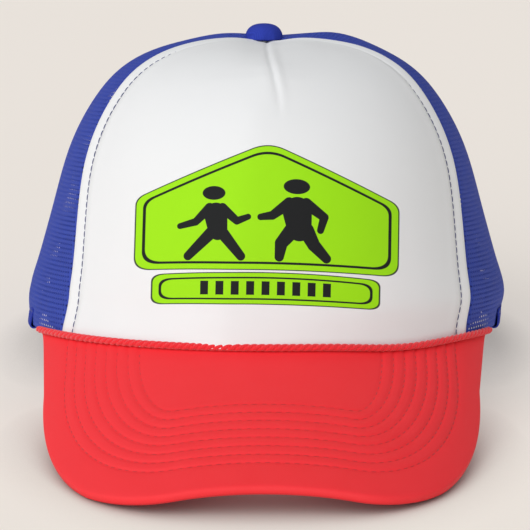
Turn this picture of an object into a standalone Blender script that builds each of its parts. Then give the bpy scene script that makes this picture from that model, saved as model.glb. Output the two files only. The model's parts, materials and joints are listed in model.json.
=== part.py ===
"""Five-panel foam-front trucker cap, resting on its visor and its rear hem.

The cap is laid out in the crown's own frame: the rim is the plane z = 0, the cap faces -Y,
and an angle round the crown is 0 at the front, positive towards +X and pi at the back.
An empty then tilts that frame back until the visor and the rear hem both touch the ground.
Units are metres.
"""

import math

import bpy
import numpy as np
from mathutils import Vector

# Crown
HALF_WIDTH = 0.089
HALF_LENGTH = 0.100
CROWN_HEIGHT = 0.103
APEX_SHIFT = -0.0063
# Profile of the crown at its front, side and back: (m, q, taper) in
# (radius)^q + (height)^m = 1, with the radius shrunk by the taper on the way up.
FRONT_PROFILE = (3.27, 2.55, 0.108)
SIDE_PROFILE = (3.27, 3.50, 0.200)
BACK_PROFILE = (2.16, 1.97, 0.077)
PROFILE_BLEND = 1.3
APEX_HOLE = 0.0042

# Panels and the seams between them
FRONT_SEAM_RIM = math.radians(54.2)
FRONT_SEAM_APEX = math.radians(66.0)
SIDE_SEAM = math.radians(117.0)
SEAM_GAP = 0.0004
LAYER_GAP = 0.0003
FACE_CLOTH = 0.0006
FOAM = 0.0025
LINING = 0.0005
NET = 0.0008
TAPE_WIDTH = 0.009
TAPE = 0.0005
TAPE_GAP = 0.0011
THREAD_RADIUS = 0.00025
TOPSTITCH_INSET = 0.005

# Rear opening, its straps and the hem
ARCH_HALF_ANGLE = math.radians(31.0)
ARCH_HEIGHT = 0.047
HEM_LEG = 0.0060
HEM_CLOTH = 0.0005
HEM_OUTSIDE = 0.0006
HEM_INSIDE = 0.0016
HEM_BELOW = 0.0014
STRAP_BOTTOM = 0.0024
STRAP_TOP = 0.0184
STRAP = 0.0013
STRAP_DEPTH = HEM_INSIDE + HEM_CLOTH + 2 * LAYER_GAP
STRAP_BEND_GAP = 0.0016
TAB_LENGTH = 0.014
SNAP_PITCH = 0.0095
SNAP_COUNT = 7
SNAPS_CLOSED = 5
HOLE_RADIUS = 0.0026
PEG_BASE_RADIUS = 0.0022
PEG_TIP_RADIUS = 0.0014
PEG_HEIGHT = 0.0021
BEND_ARC = 0.0455

# Sweatband
BAND_DEPTH = STRAP_DEPTH + 2 * STRAP + 4 * LAYER_GAP
BAND = 0.0010
BAND_BOTTOM = 0.0012
BAND_TOP = 0.0330
BAND_END = math.pi - ARCH_HALF_ANGLE - math.radians(1.5)

# Visor: a flat board rolled over a cylinder that slopes down from the rim
VISOR_SLOPE = math.radians(34.0)
VISOR_TIP = math.radians(62.0)
VISOR_LENGTH = 0.072
VISOR_SIDE = 0.081
CORNER_CENTRE = (0.030, -0.005)
TIP_DEPTH = 0.003
VISOR_START = 0.0006
VISOR_CLOTH = 0.0007
VISOR_BOARD = 0.0016
BOARD_INSET = 0.0010
ROW_COUNT = 8
ROW_FRONT_MARGIN = 0.0140
ROW_SIDE_MARGIN = 0.0107
ROW_FRONT_PITCH = 0.0041
ROW_SIDE_PITCH = 0.0042
ROW_START = 0.0042
BRAID_RADIUS = 0.0012
BRAID_END = math.radians(63.0)

# Button
BUTTON_RADIUS = 0.0068
BUTTON_HEIGHT = 0.0058
RIVET_RADIUS = 0.0024
PLATE_RADIUS = 0.0080
PLATE = 0.0012
PLATE_DEPTH = 0.0062

for old in list(bpy.data.objects):
    bpy.data.objects.remove(old, do_unlink=True)

parts = bpy.data.collections.new("trucker_cap")
cutters = bpy.data.collections.new("cutters")
for group in (parts, cutters):
    bpy.context.scene.collection.children.link(group)

crown_frame = bpy.data.objects.new("crown_frame", None)
parts.objects.link(crown_frame)


def finish(name, colour, roughness):
    """A Principled material with one colour and roughness."""
    look = bpy.data.materials.new(name)
    look.use_nodes = True
    shader = look.node_tree.nodes["Principled BSDF"]
    shader.inputs["Base Color"].default_value = (*colour, 1.0)
    shader.inputs["Roughness"].default_value = roughness
    shader.inputs["Metallic"].default_value = 0.0
    return look


WHITE_CLOTH = finish("white_cloth", (0.86, 0.86, 0.88), 0.85)
FOAM_LOOK = finish("foam", (0.90, 0.90, 0.86), 0.95)
LINING_LOOK = finish("lining", (0.80, 0.80, 0.82), 0.90)
BLUE_NET = finish("blue_net", (0.05, 0.07, 0.42), 0.70)
BLUE_CLOTH = finish("blue_cloth", (0.04, 0.06, 0.38), 0.85)
BLUE_PLASTIC = finish("blue_plastic", (0.03, 0.05, 0.34), 0.35)
BLUE_THREAD = finish("blue_thread", (0.02, 0.03, 0.20), 0.70)
RED_CLOTH = finish("red_cloth", (0.80, 0.03, 0.04), 0.85)
RED_THREAD = finish("red_thread", (0.62, 0.02, 0.03), 0.70)
BOARD_LOOK = finish("board", (0.92, 0.92, 0.90), 0.50)
METAL_LOOK = finish("button_metal", (0.60, 0.60, 0.62), 0.40)
METAL_LOOK.node_tree.nodes["Principled BSDF"].inputs["Metallic"].default_value = 1.0


def profile_at(angle):
    """The profile's three numbers at an angle round the crown."""
    front = max(math.cos(angle), 0.0) ** PROFILE_BLEND
    back = max(-math.cos(angle), 0.0) ** PROFILE_BLEND
    return [
        side + (ahead - side) * front + (behind - side) * back
        for side, ahead, behind in zip(SIDE_PROFILE, FRONT_PROFILE, BACK_PROFILE)
    ]


def crown_point(angle, rise):
    """Outer surface of the crown. rise runs from 0 at the rim to pi/2 at the apex."""
    m, q, taper = profile_at(angle)
    height = math.sin(rise) ** (2 / m)
    radius = math.cos(rise) ** (2 / q) * (1 - taper * height)
    return Vector((
        HALF_WIDTH * math.sin(angle) * radius,
        APEX_SHIFT * (1 - radius) - HALF_LENGTH * math.cos(angle) * radius,
        CROWN_HEIGHT * height,
    ))


def crown_normal(angle, rise):
    step = 0.01
    high = min(max(rise, 2 * step) + step, math.pi / 2 - 0.002)
    low = high - 2 * step
    middle = high - step
    along = crown_point(angle + step, middle) - crown_point(angle - step, middle)
    upward = crown_point(angle, high) - crown_point(angle, low)
    return along.cross(upward).normalized()


def crown_layer(angle, rise, depth):
    """A point the given depth inside the crown's outer surface."""
    return crown_point(angle, rise) - depth * crown_normal(angle, rise)


def rise_at(angle, height):
    """The rise at which the crown reaches a height above the rim."""
    m = profile_at(angle)[0]
    return math.asin(min((height / CROWN_HEIGHT) ** (m / 2), 1.0))


def rise_near_apex(angle, distance):
    q = profile_at(angle)[1]
    return math.acos((distance / HALF_LENGTH) ** (q / 2))


def eased(fraction):
    """Spreads rows evenly along a profile that is steep at both of its ends."""
    start = fraction**1.6
    end = (1 - fraction) ** 1.75
    return start / (start + end)


def front_seam(rise):
    return FRONT_SEAM_RIM + (FRONT_SEAM_APEX - FRONT_SEAM_RIM) * math.sin(rise) ** 1.2


def gap_angle(angle, rise, gap):
    """The angle that a gap takes up at the local distance from the apex."""
    point = crown_point(angle, rise)
    return gap / max(math.hypot(point.x, point.y - APEX_SHIFT), APEX_HOLE)


def add_part(name, obj, look, smooth=True):
    """Names a part, gives it its material and hangs it in the crown's frame."""
    obj.name = name
    obj.data.name = name
    obj.data.materials.clear()
    obj.data.materials.append(look)
    for holder in list(obj.users_collection):
        holder.objects.unlink(obj)
    parts.objects.link(obj)
    obj.parent = crown_frame
    if smooth and obj.type == "MESH":
        obj.data.shade_smooth()
        obj.data.set_sharp_from_angle(angle=math.radians(40))
    return obj


def sheet(name, columns, rows, place, thickness, look, origin=Vector()):
    """A grid laid over a surface by place(across, up), both 0 to 1, and given a thickness."""
    bpy.ops.mesh.primitive_grid_add(x_subdivisions=columns, y_subdivisions=rows, size=2)
    obj = bpy.context.object
    for vertex in obj.data.vertices:
        vertex.co = place(vertex.co.x / 2 + 0.5, vertex.co.y / 2 + 0.5) - origin
    solid = obj.modifiers.new("thickness", "SOLIDIFY")
    solid.thickness = thickness
    solid.offset = -1
    obj.location = origin
    return add_part(name, obj, look)


def tube(name, points, radius, look):
    """A round cord or thread through a list of points, closed at its ends."""
    curve = bpy.data.curves.new(name, "CURVE")
    curve.dimensions = "3D"
    curve.bevel_depth = radius
    curve.bevel_resolution = 2 if radius > 2 * THREAD_RADIUS else 0
    curve.use_fill_caps = True
    spline = curve.splines.new("POLY")
    spline.points.add(len(points) - 1)
    for spot, point in zip(spline.points, points):
        spot.co = (*point, 1.0)
    obj = bpy.data.objects.new(name, curve)
    bpy.context.scene.collection.objects.link(obj)
    return add_part(name, obj, look)


def steps(count):
    """Evenly spaced fractions from 0 to 1."""
    return [index / (count - 1) for index in range(count)]


def turned(name, profile, look, centre):
    """A body of revolution about the crown's upright axis, its profile listed from top to bottom."""
    mesh = bpy.data.meshes.new(name)
    edges = [(index, index + 1) for index in range(len(profile) - 1)]
    mesh.from_pydata([(radius, 0.0, height) for radius, height in profile], edges, [])
    obj = bpy.data.objects.new(name, mesh)
    bpy.context.scene.collection.objects.link(obj)
    screw = obj.modifiers.new("turn", "SCREW")
    screw.steps = 20
    screw.render_steps = 20
    screw.use_merge_vertices = True
    screw.merge_threshold = 0.0001
    screw.use_smooth_shade = True
    obj.location = centre
    return add_part(name, obj, look, smooth=False)


def front_layer(name, depth, thickness, look, inset):
    """One layer of the front panel, from the rim to the button and from seam to seam."""

    def place(across, up):
        rise = eased(up) * rise_near_apex(0.0, APEX_HOLE)
        edge = front_seam(rise) - gap_angle(front_seam(rise), rise, SEAM_GAP / 2 + inset)
        return crown_layer((2 * across - 1) * edge, rise, depth)

    return sheet(name, 18, 11, place, thickness, look)


def make_front():
    depth = 0.0
    layers = (
        ("front_panel", FACE_CLOTH, WHITE_CLOTH),
        ("front_foam", FOAM, FOAM_LOOK),
        ("front_lining", LINING, LINING_LOOK),
    )
    for name, thickness, look in layers:
        front_layer(name, depth, thickness, look, inset=0.0)
        depth += thickness + LAYER_GAP
    for side, sign in (("left", -1), ("right", 1)):
        points = []
        for fraction in steps(20):
            rise = eased(0.02 + 0.90 * fraction) * rise_near_apex(0.0, APEX_HOLE)
            angle = front_seam(rise) - gap_angle(front_seam(rise), rise, TOPSTITCH_INSET)
            points.append(crown_layer(sign * angle, rise, -LAYER_GAP - THREAD_RADIUS))
        tube(f"front_topstitch_{side}", points, THREAD_RADIUS, BLUE_THREAD)


def side_net(name, sign):
    """Side panel of net, from the front seam back to the side seam."""

    def place(across, up):
        rise = eased(up) * rise_near_apex(SIDE_SEAM, APEX_HOLE)
        front = front_seam(rise) + gap_angle(front_seam(rise), rise, SEAM_GAP / 2)
        back = SIDE_SEAM - gap_angle(SIDE_SEAM, rise, SEAM_GAP / 2)
        if sign < 0:
            across = 1 - across
        return crown_layer(sign * (front + (back - front) * across), rise, 0.0)

    return sheet(name, 8, 10, place, NET, BLUE_NET)


def hem_edge(fraction):
    """Lower edge of a rear panel, from the side seam (0) to the middle of the arch (1).

    Returns the angle round the crown and the height above the rim."""
    corner = math.pi - ARCH_HALF_ANGLE
    if fraction < 0.45:
        return SIDE_SEAM + (corner - SIDE_SEAM) * fraction / 0.45, 0.0
    turn = (fraction - 0.45) / 0.55 * math.pi / 2
    return math.pi - ARCH_HALF_ANGLE * math.cos(turn), ARCH_HEIGHT * math.sin(turn) ** 0.9


def rear_net(name, sign):
    """Rear panel of net, from the side seam to the centre back, with half of the arch cut out."""

    def place(across, up):
        if sign < 0:
            across = 1 - across
        angle, height = hem_edge(across)
        low = rise_at(angle, height)
        rise = low + (rise_near_apex(angle, APEX_HOLE) - low) * eased(up)
        start = SIDE_SEAM + gap_angle(SIDE_SEAM, rise, SEAM_GAP / 2)
        end = math.pi - gap_angle(math.pi, rise, SEAM_GAP / 2)
        share = (angle - SIDE_SEAM) / (math.pi - SIDE_SEAM)
        return crown_layer(sign * (start + (end - start) * share), rise, 0.0)

    return sheet(name, 12, 9, place, NET, BLUE_NET)


def make_nets():
    for side, sign in (("left", -1), ("right", 1)):
        side_net(f"side_mesh_{side}", sign)
        rear_net(f"rear_mesh_{side}", sign)


def seam_tape(name, seam, low_height, depth):
    """A strip sewn over a seam on the inside, following seam(rise) up towards the button."""
    start = rise_at(seam(0.5), low_height)
    end = rise_near_apex(seam(math.pi / 2), 0.013)

    def place(across, up):
        rise = start + (end - start) * eased(0.04 + 0.92 * up)
        angle = seam(rise)
        return crown_layer(angle + gap_angle(angle, rise, TAPE_WIDTH * (across - 0.5)), rise, depth)

    return sheet(name, 2, 12, place, TAPE, BLUE_CLOTH)


def make_tapes():
    under_front = FACE_CLOTH + FOAM + LINING + 2 * LAYER_GAP + TAPE_GAP
    under_net = NET + TAPE_GAP
    above_hem = HEM_LEG + 0.004
    for side, sign in (("left", -1), ("right", 1)):
        seam_tape(f"front_seam_tape_{side}", lambda rise: sign * front_seam(rise), 0.003, under_front)
        seam_tape(f"side_seam_tape_{side}", lambda rise: sign * SIDE_SEAM, above_hem, under_net)
    seam_tape("centre_back_tape", lambda rise: math.pi, ARCH_HEIGHT + above_hem, under_net)


def hem_strip(name, edge, columns):
    """Binding folded in half over the net's lower edge. edge(fraction) gives angle and height."""
    bend = 0.30

    def on_crown(fraction):
        angle, height = edge(fraction)
        return crown_point(angle, rise_at(angle, height))

    def place(across, up):
        angle, height = edge(across)
        base = crown_point(angle, rise_at(angle, height))
        out = crown_normal(angle, rise_at(angle, height))
        near = 1e-3
        along = (on_crown(min(across + near, 1.0)) - on_crown(max(across - near, 0.0))).normalized()
        into = out.cross(along)
        swing = 2 * up - 1
        middle = (HEM_OUTSIDE - HEM_INSIDE) / 2
        reach = (HEM_OUTSIDE + HEM_INSIDE) / 2 + HEM_CLOTH
        if abs(swing) < bend:
            turn = swing / bend * math.pi / 2
            return base - into * (HEM_BELOW * math.cos(turn)) + out * (middle + reach * math.sin(turn))
        leg = HEM_LEG * (abs(swing) - bend) / (1 - bend)
        sag = leg**2 / (2 * HALF_WIDTH)
        return base + into * leg + out * (middle + math.copysign(reach, swing) - sag)

    return sheet(name, columns, 8, place, HEM_CLOTH, BLUE_CLOTH)


def make_hem():
    corner = math.pi - ARCH_HALF_ANGLE
    joint = (HEM_LEG + 4 * LAYER_GAP) / HALF_WIDTH
    start = VISOR_TIP + math.radians(2.2)
    hem_strip("rim_binding_right", lambda f: (start + (corner - joint - start) * f, 0.0), 13)
    hem_strip("rim_binding_left", lambda f: (-corner + joint + (corner - joint - start) * f, 0.0), 13)

    def arch(fraction):
        turn = math.pi * (0.012 + 0.976 * fraction)
        return math.pi - ARCH_HALF_ANGLE * math.cos(turn), ARCH_HEIGHT * math.sin(turn) ** 0.9

    hem_strip("rear_arch_binding", arch, 22)


def make_sweatband():
    def place(across, up):
        angle = (2 * across - 1) * BAND_END
        height = BAND_BOTTOM + (BAND_TOP - BAND_BOTTOM) * up
        return crown_layer(angle, rise_at(angle, height), BAND_DEPTH)

    sheet("sweatband", 36, 2, place, BAND, BLUE_CLOTH)


def make_button():
    centre = Vector((0.0, APEX_SHIFT, CROWN_HEIGHT + LAYER_GAP))
    dome = [(0.0, BUTTON_HEIGHT)]
    for fraction in steps(7)[1:]:
        turn = fraction * math.pi / 2
        dome.append((BUTTON_RADIUS * math.sin(turn) ** 0.85, BUTTON_HEIGHT * math.cos(turn) ** 0.75))
    bore = RIVET_RADIUS + LAYER_GAP
    socket = BUTTON_HEIGHT * 0.5
    turned("top_button", dome + [(bore, 0.0), (bore, socket), (0.0, socket)], BLUE_CLOTH, centre)
    top = socket - LAYER_GAP
    plate_top = -PLATE_DEPTH
    rivet = [
        (0.0, top),
        (RIVET_RADIUS, top),
        (RIVET_RADIUS, plate_top),
        (PLATE_RADIUS, plate_top),
        (PLATE_RADIUS, plate_top - PLATE),
        (0.0, plate_top - PLATE),
    ]
    turned("button_rivet", rivet, METAL_LOOK, centre)


def section_table():
    """Angles round the rim against distance along the visor's rolled section."""
    angles = np.linspace(0.0, math.radians(80), 400)
    drop = HALF_LENGTH * math.sin(VISOR_SLOPE)
    speed = np.hypot(HALF_WIDTH * np.cos(angles), drop * np.sin(angles))
    lengths = np.concatenate([[0.0], np.cumsum((speed[1:] + speed[:-1]) / 2 * np.diff(angles))])
    return angles, lengths


SECTION_ANGLES, SECTION_LENGTHS = section_table()
RULING = Vector((0.0, -math.cos(VISOR_SLOPE), -math.sin(VISOR_SLOPE)))


def rim_point(angle):
    return Vector((HALF_WIDTH * math.sin(angle), -HALF_LENGTH * math.cos(angle), 0.0))


def section_angle(across):
    return math.copysign(float(np.interp(abs(across), SECTION_LENGTHS, SECTION_ANGLES)), across)


def visor_normal(angle):
    along = Vector((HALF_WIDTH * math.cos(angle), HALF_LENGTH * math.sin(angle), 0.0))
    return RULING.cross(along).normalized()


def rim_on_board(across):
    """Where the rim lies on the flat board: its distance forward of the middle of the seam."""
    return -HALF_LENGTH * (1 - math.cos(section_angle(across))) * math.cos(VISOR_SLOPE)


def rolled(across, forward, lift):
    """A point of the flat board, rolled to the visor's curve and lifted off its top face."""
    angle = section_angle(across)
    return rim_point(angle) + RULING * (forward - rim_on_board(across)) + visor_normal(angle) * lift


TIP_ACROSS = float(np.interp(VISOR_TIP, SECTION_ANGLES, SECTION_LENGTHS))


def board_outline(share, side, front):
    """The board's outer edge, share 0 at the middle of the front and 1 at the tip.

    Straight in front, a quarter of an ellipse at the corner, then straight back to the tip."""
    centre_across, centre_forward = CORNER_CENTRE
    if share < 0.2:
        return centre_across * share / 0.2, front
    if share < 0.75:
        turn = (share - 0.2) / 0.55 * math.pi / 2
        return (
            centre_across + (side - centre_across) * math.sin(turn),
            centre_forward + (front - centre_forward) * math.cos(turn),
        )
    back = (share - 0.75) / 0.25
    tip_forward = rim_on_board(TIP_ACROSS) + TIP_DEPTH
    return (
        side + (TIP_ACROSS - (VISOR_SIDE - side) - side) * back,
        centre_forward + (tip_forward - centre_forward) * back,
    )


def visor_layer(name, lift, thickness, inset, look):
    def place(across, up):
        swing = 2 * across - 1
        share = abs(swing)
        edge_across, edge_forward = board_outline(share, VISOR_SIDE - inset, VISOR_LENGTH - inset)
        seam_across = (TIP_ACROSS - inset) * share**0.9
        seam_forward = rim_on_board(seam_across) + VISOR_START
        flat_across = seam_across + (edge_across - seam_across) * up
        flat_forward = seam_forward + (edge_forward - seam_forward) * up
        return rolled(math.copysign(flat_across, swing), flat_forward, lift)

    return sheet(name, 30, 5, lambda across, up: place(1 - across, up), thickness, look)


def stitch_row(index):
    """One row of stitching, parallel to the visor's edge."""
    side = VISOR_SIDE - ROW_SIDE_MARGIN - index * ROW_SIDE_PITCH
    front = VISOR_LENGTH - ROW_FRONT_MARGIN - index * ROW_FRONT_PITCH
    start = rim_on_board(side) + ROW_START
    half = [(side, start + (CORNER_CENTRE[1] - start) * share) for share in steps(3)[:-1]]
    if start > CORNER_CENTRE[1]:
        half = []
    for share in steps(8):
        across, forward = board_outline(0.75 - 0.55 * share, side, front)
        if forward > start:
            half.append((across, forward))
    half += [(CORNER_CENTRE[0] * (1 - share), front) for share in steps(3)[1:-1]]
    whole = half + [(0.0, front)] + [(-across, forward) for across, forward in reversed(half)]
    lift = LAYER_GAP + THREAD_RADIUS
    tube(f"visor_stitch_row_{index + 1}", [rolled(*spot, lift) for spot in whole], THREAD_RADIUS, RED_THREAD)


def make_visor():
    visor_layer("visor_top_cover", 0.0, VISOR_CLOTH, 0.0, RED_CLOTH)
    board_lift = -VISOR_CLOTH - LAYER_GAP
    visor_layer("visor_board", board_lift, VISOR_BOARD, BOARD_INSET, BOARD_LOOK)
    under_lift = board_lift - VISOR_BOARD - LAYER_GAP
    visor_layer("visor_under_cover", under_lift, VISOR_CLOTH, 0.0, RED_CLOTH)
    for index in range(ROW_COUNT):
        stitch_row(index)
    points = []
    for share in steps(37):
        angle = (2 * share - 1) * BRAID_END
        wall = crown_normal(angle, rise_at(angle, 0.001))
        top = visor_normal(angle)
        push = (BRAID_RADIUS + LAYER_GAP) / (1 + wall.dot(top))
        points.append(rim_point(angle) + (wall + top) * push)
    tube("visor_braid", points, BRAID_RADIUS, RED_CLOTH)


def strap_place(sign, depth, from_arc, to_arc):
    """Places a strip of strap between two distances from the centre back, towards sign * X."""
    arc_angle = 1 / math.hypot(HALF_WIDTH * math.cos(ARCH_HALF_ANGLE / 2), HALF_LENGTH * 0.27)

    def place(across, up):
        angle = math.pi - sign * (from_arc + (to_arc - from_arc) * across) * arc_angle
        height = STRAP_BOTTOM + (STRAP_TOP - STRAP_BOTTOM) * up
        return crown_layer(angle, rise_at(angle, height), depth)

    return place, arc_angle


def strap_piece(name, sign, depth, from_arc, to_arc, columns, look, hinged):
    """A strip of strap. A hinged one has its origin on its bend line."""
    place, arc_angle = strap_place(sign, depth, from_arc, to_arc)
    origin = Vector()
    if hinged:
        bend_angle = math.pi - sign * BEND_ARC * arc_angle
        middle = (STRAP_BOTTOM + STRAP_TOP) / 2
        origin = crown_layer(bend_angle, rise_at(bend_angle, middle), depth + STRAP / 2)

    def ordered(across, up):
        return place(across if sign > 0 else 1 - across, up)

    return sheet(name, columns, 3, ordered, STRAP, look, origin)


SNAP_OVERLAP = SNAP_PITCH * (SNAPS_CLOSED - 1) / 2
FREE_END = SNAP_OVERLAP + 0.006


def snap_marker(name, sign, depth, arc, bottom_radius, top_radius, height, sides):
    """A cone standing out from the strap, used as a cutter or as a peg."""
    place, _ = strap_place(sign, depth, arc, arc)
    foot = place(0.5, 0.5)
    out = (foot - strap_place(sign, depth + 0.002, arc, arc)[0](0.5, 0.5)).normalized()
    bpy.ops.mesh.primitive_cone_add(
        vertices=sides,
        radius1=bottom_radius,
        radius2=top_radius,
        depth=height,
        location=foot + out * height / 2,
        rotation=out.to_track_quat("Z", "Y").to_euler(),
    )
    obj = bpy.context.object
    obj.name = name
    for holder in list(obj.users_collection):
        holder.objects.unlink(obj)
    cutters.objects.link(obj)
    obj.hide_render = True
    obj.display_type = "WIRE"
    obj.parent = crown_frame
    return obj


def snap_arcs():
    """Distances of a strap's snaps from the centre back towards its root, the closed ones first."""
    return [SNAP_PITCH * index - SNAP_OVERLAP for index in range(SNAP_COUNT)]


def combine(target, tool, operation):
    modifier = target.modifiers.new(tool.name, "BOOLEAN")
    modifier.operation = operation
    modifier.solver = "EXACT"
    modifier.object = tool


def make_straps():
    """The hole strap grows from the left and lies outside; the peg strap grows from the right."""
    inner_depth = STRAP_DEPTH + STRAP + LAYER_GAP
    tab_start = BEND_ARC + STRAP_BEND_GAP / 2
    free_start = BEND_ARC - STRAP_BEND_GAP / 2
    for side, sign, depth in (("left", -1, STRAP_DEPTH), ("right", 1, inner_depth)):
        strap_piece(f"strap_tab_{side}", sign, depth, tab_start + TAB_LENGTH, tab_start, 4, BLUE_PLASTIC, False)
    holes = strap_piece("hole_strap", -1, STRAP_DEPTH, free_start, -FREE_END, 10, BLUE_PLASTIC, True)
    pegs = strap_piece("peg_strap", 1, inner_depth, free_start, -FREE_END, 10, BLUE_PLASTIC, True)
    for index, arc in enumerate(snap_arcs()):
        cutter = snap_marker(
            f"hole_cutter_{index}", -1, STRAP_DEPTH + 2 * STRAP, arc, HOLE_RADIUS, HOLE_RADIUS, 4 * STRAP, 12
        )
        combine(holes, cutter, "DIFFERENCE")
    sunk = 0.0006
    for index, arc in enumerate(snap_arcs()):
        peg = snap_marker(
            f"peg_{index}", 1, inner_depth + sunk, arc, PEG_BASE_RADIUS, PEG_TIP_RADIUS, PEG_HEIGHT + sunk, 10
        )
        combine(pegs, peg, "UNION")


def world_points():
    """Every part's vertices in world space."""
    bpy.context.view_layer.update()
    graph = bpy.context.evaluated_depsgraph_get()
    found = []
    for obj in parts.objects:
        if obj.type == "EMPTY":
            continue
        shape = obj.evaluated_get(graph)
        mesh = shape.to_mesh()
        place = np.array(obj.matrix_world)
        flat = np.empty(len(mesh.vertices) * 3)
        mesh.vertices.foreach_get("co", flat)
        found.append(flat.reshape(-1, 3) @ place[:3, :3].T + place[:3, 3])
        shape.to_mesh_clear()
    return np.concatenate(found)


def rest_on_ground():
    """Tilts the crown's frame until its front and its back stand equally low, then lifts it."""
    points = world_points()
    front = points[points[:, 1] < 0]
    back = points[points[:, 1] > 0]

    def lowest(group, tilt):
        return (group[:, 1] * math.sin(tilt) + group[:, 2] * math.cos(tilt)).min()

    level, steep = 0.0, math.radians(-25)
    for _ in range(40):
        tilt = (level + steep) / 2
        if lowest(front, tilt) < lowest(back, tilt):
            level = tilt
        else:
            steep = tilt
    crown_frame.rotation_euler.x = tilt
    tilted = world_points()
    middle = (tilted.min(axis=0) + tilted.max(axis=0)) / 2
    crown_frame.location = (-middle[0], -middle[1], -tilted[:, 2].min())
    bpy.context.view_layer.update()


make_front()
make_nets()
make_tapes()
make_hem()
make_sweatband()
make_button()
make_visor()
make_straps()
rest_on_ground()
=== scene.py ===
import json
import math

import bpy
import numpy as np
from mathutils import Matrix, Vector


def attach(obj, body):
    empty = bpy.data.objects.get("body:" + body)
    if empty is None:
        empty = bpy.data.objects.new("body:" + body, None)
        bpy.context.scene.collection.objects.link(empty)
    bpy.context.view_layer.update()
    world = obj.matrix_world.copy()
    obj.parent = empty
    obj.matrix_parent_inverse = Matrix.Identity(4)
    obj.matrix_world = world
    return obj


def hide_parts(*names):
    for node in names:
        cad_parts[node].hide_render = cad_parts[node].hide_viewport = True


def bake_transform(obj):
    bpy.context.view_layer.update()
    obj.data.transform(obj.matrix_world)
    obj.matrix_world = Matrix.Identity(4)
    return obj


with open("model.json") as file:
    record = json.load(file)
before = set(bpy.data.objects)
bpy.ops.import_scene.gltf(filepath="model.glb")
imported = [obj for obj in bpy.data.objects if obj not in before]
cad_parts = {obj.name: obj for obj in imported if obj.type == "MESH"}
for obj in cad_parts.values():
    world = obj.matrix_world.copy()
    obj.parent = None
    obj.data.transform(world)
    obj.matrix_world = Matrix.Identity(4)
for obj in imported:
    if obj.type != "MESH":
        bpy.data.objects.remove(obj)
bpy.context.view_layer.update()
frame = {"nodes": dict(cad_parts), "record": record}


# ---------------------------------------------------------------- where the cap stands
# The crown leans back until its rear hem and the visor both touch the table. Its own frame
# has the rim at height 0, the front towards -Y, and angles that run from 0 at the front,
# positive to the right. The button's back plate says how that frame is turned and placed.
button_plate = frame["record"]["mounts"][0]
lean = math.atan2(button_plate["axis"][1], -button_plate["axis"][2])
lean_back = np.array(Matrix.Rotation(lean, 3, "X"))
PLATE_IN_CROWN = (0.0, -0.0063, 0.0959)
crown_origin = np.array(button_plate["pos_m"]) - lean_back @ PLATE_IN_CROWN


def to_table(points):
    """Points of the crown's frame, turned and lifted to where the cap stands."""
    return np.asarray(points) @ lean_back.T + crown_origin


# ---------------------------------------------------------------- shader maths
# Every finish below is written with these: a Wire is a number, vector or colour on its way
# through a material, and arithmetic on it adds the Math nodes.
class Wire:
    def __init__(self, look, socket):
        self.look = look
        self.socket = socket

    def maths(self, operation, *values, **settings):
        sockets = dict(enumerate(values))
        return self.look.node("Math", {"operation": operation, **settings}, sockets)

    def __add__(self, other):
        return self.maths("ADD", self, other)

    def __sub__(self, other):
        return self.maths("SUBTRACT", self, other)

    def __rsub__(self, other):
        return self.maths("SUBTRACT", other, self)

    def __mul__(self, other):
        return self.maths("MULTIPLY", self, other)

    def __truediv__(self, other):
        return self.maths("DIVIDE", self, other)

    def __pow__(self, other):
        return self.maths("POWER", self, other)

    __radd__ = __add__
    __rmul__ = __mul__

    def least(self, other):
        return self.maths("MINIMUM", self, other)

    def most(self, other):
        return self.maths("MAXIMUM", self, other)

    def __abs__(self):
        return self.maths("ABSOLUTE", self)

    def sine(self):
        return self.maths("SINE", self)

    def fraction(self):
        return self.maths("FRACT", self)

    def clamped(self):
        return self.maths("ADD", self, 0.0, use_clamp=True)

    def parts(self):
        return [self.look.node("SeparateXYZ", {}, {0: self}, output) for output in range(3)]


class Look:
    """A Principled material. What is the same all over sits on the shader itself."""

    def __init__(self, name, **constants):
        self.material = bpy.data.materials.new(name)
        self.material.use_nodes = True
        self.shader = self.material.node_tree.nodes["Principled BSDF"]
        self.feed(self.shader, {key.replace("_", " "): value for key, value in constants.items()})

    def feed(self, node, values):
        for key, value in values.items():
            if isinstance(value, Wire):
                self.material.node_tree.links.new(value.socket, node.inputs[key])
            else:
                node.inputs[key].default_value = value

    def node(self, kind, settings, sockets, output=0):
        """Adds a node of any type: its settings first, then the values or links of its sockets."""
        made = self.material.node_tree.nodes.new("ShaderNode" + kind)
        for key, value in settings.items():
            setattr(made, key, value)
        self.feed(made, sockets)
        return Wire(self, made.outputs[output])

    def surface(self, **values):
        self.feed(self.shader, {key.replace("_", " "): value for key, value in values.items()})

    def place(self):
        return self.node("TexCoord", {}, {}, 3)

    def flat_place(self, name):
        """The piece's own flat cloth, in millimetres."""
        return self.node("UVMap", {"uv_map": name}, {})

    def cloth(self):
        """How far across and how far along its flat cloth a place lies."""
        return self.flat_place("cloth").parts()[:2]

    def noise(self, vector, scale, detail=2.0):
        sockets = {"Vector": vector, "Scale": scale, "Detail": detail}
        return self.node("TexNoise", {}, sockets)

    def blend(self, factor, low, high):
        """From one colour to another: each is a wire, or its red, green and blue."""
        low, high = (end if isinstance(end, Wire) else (*end, 1.0) for end in (low, high))
        sockets = {0: factor, 6: low, 7: high}
        return self.node("Mix", {"data_type": "RGBA"}, sockets, 2)

    def bump(self, height, depth):
        """A relief, depth in metres where height is 1."""
        return self.node("Bump", {}, {"Height": height, "Distance": depth, "Strength": 1.0})


def plain_weave(across, along, pitch):
    """Height of a plain weave, 0 to 1, its threads pitch apart."""
    warp = (across * (math.pi / pitch)).sine()
    weft = (along * (math.pi / pitch)).sine()
    over = (warp * weft * 8 + 0.5).clamped()
    return over * abs(warp) + (1 - over) * abs(weft)


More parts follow.
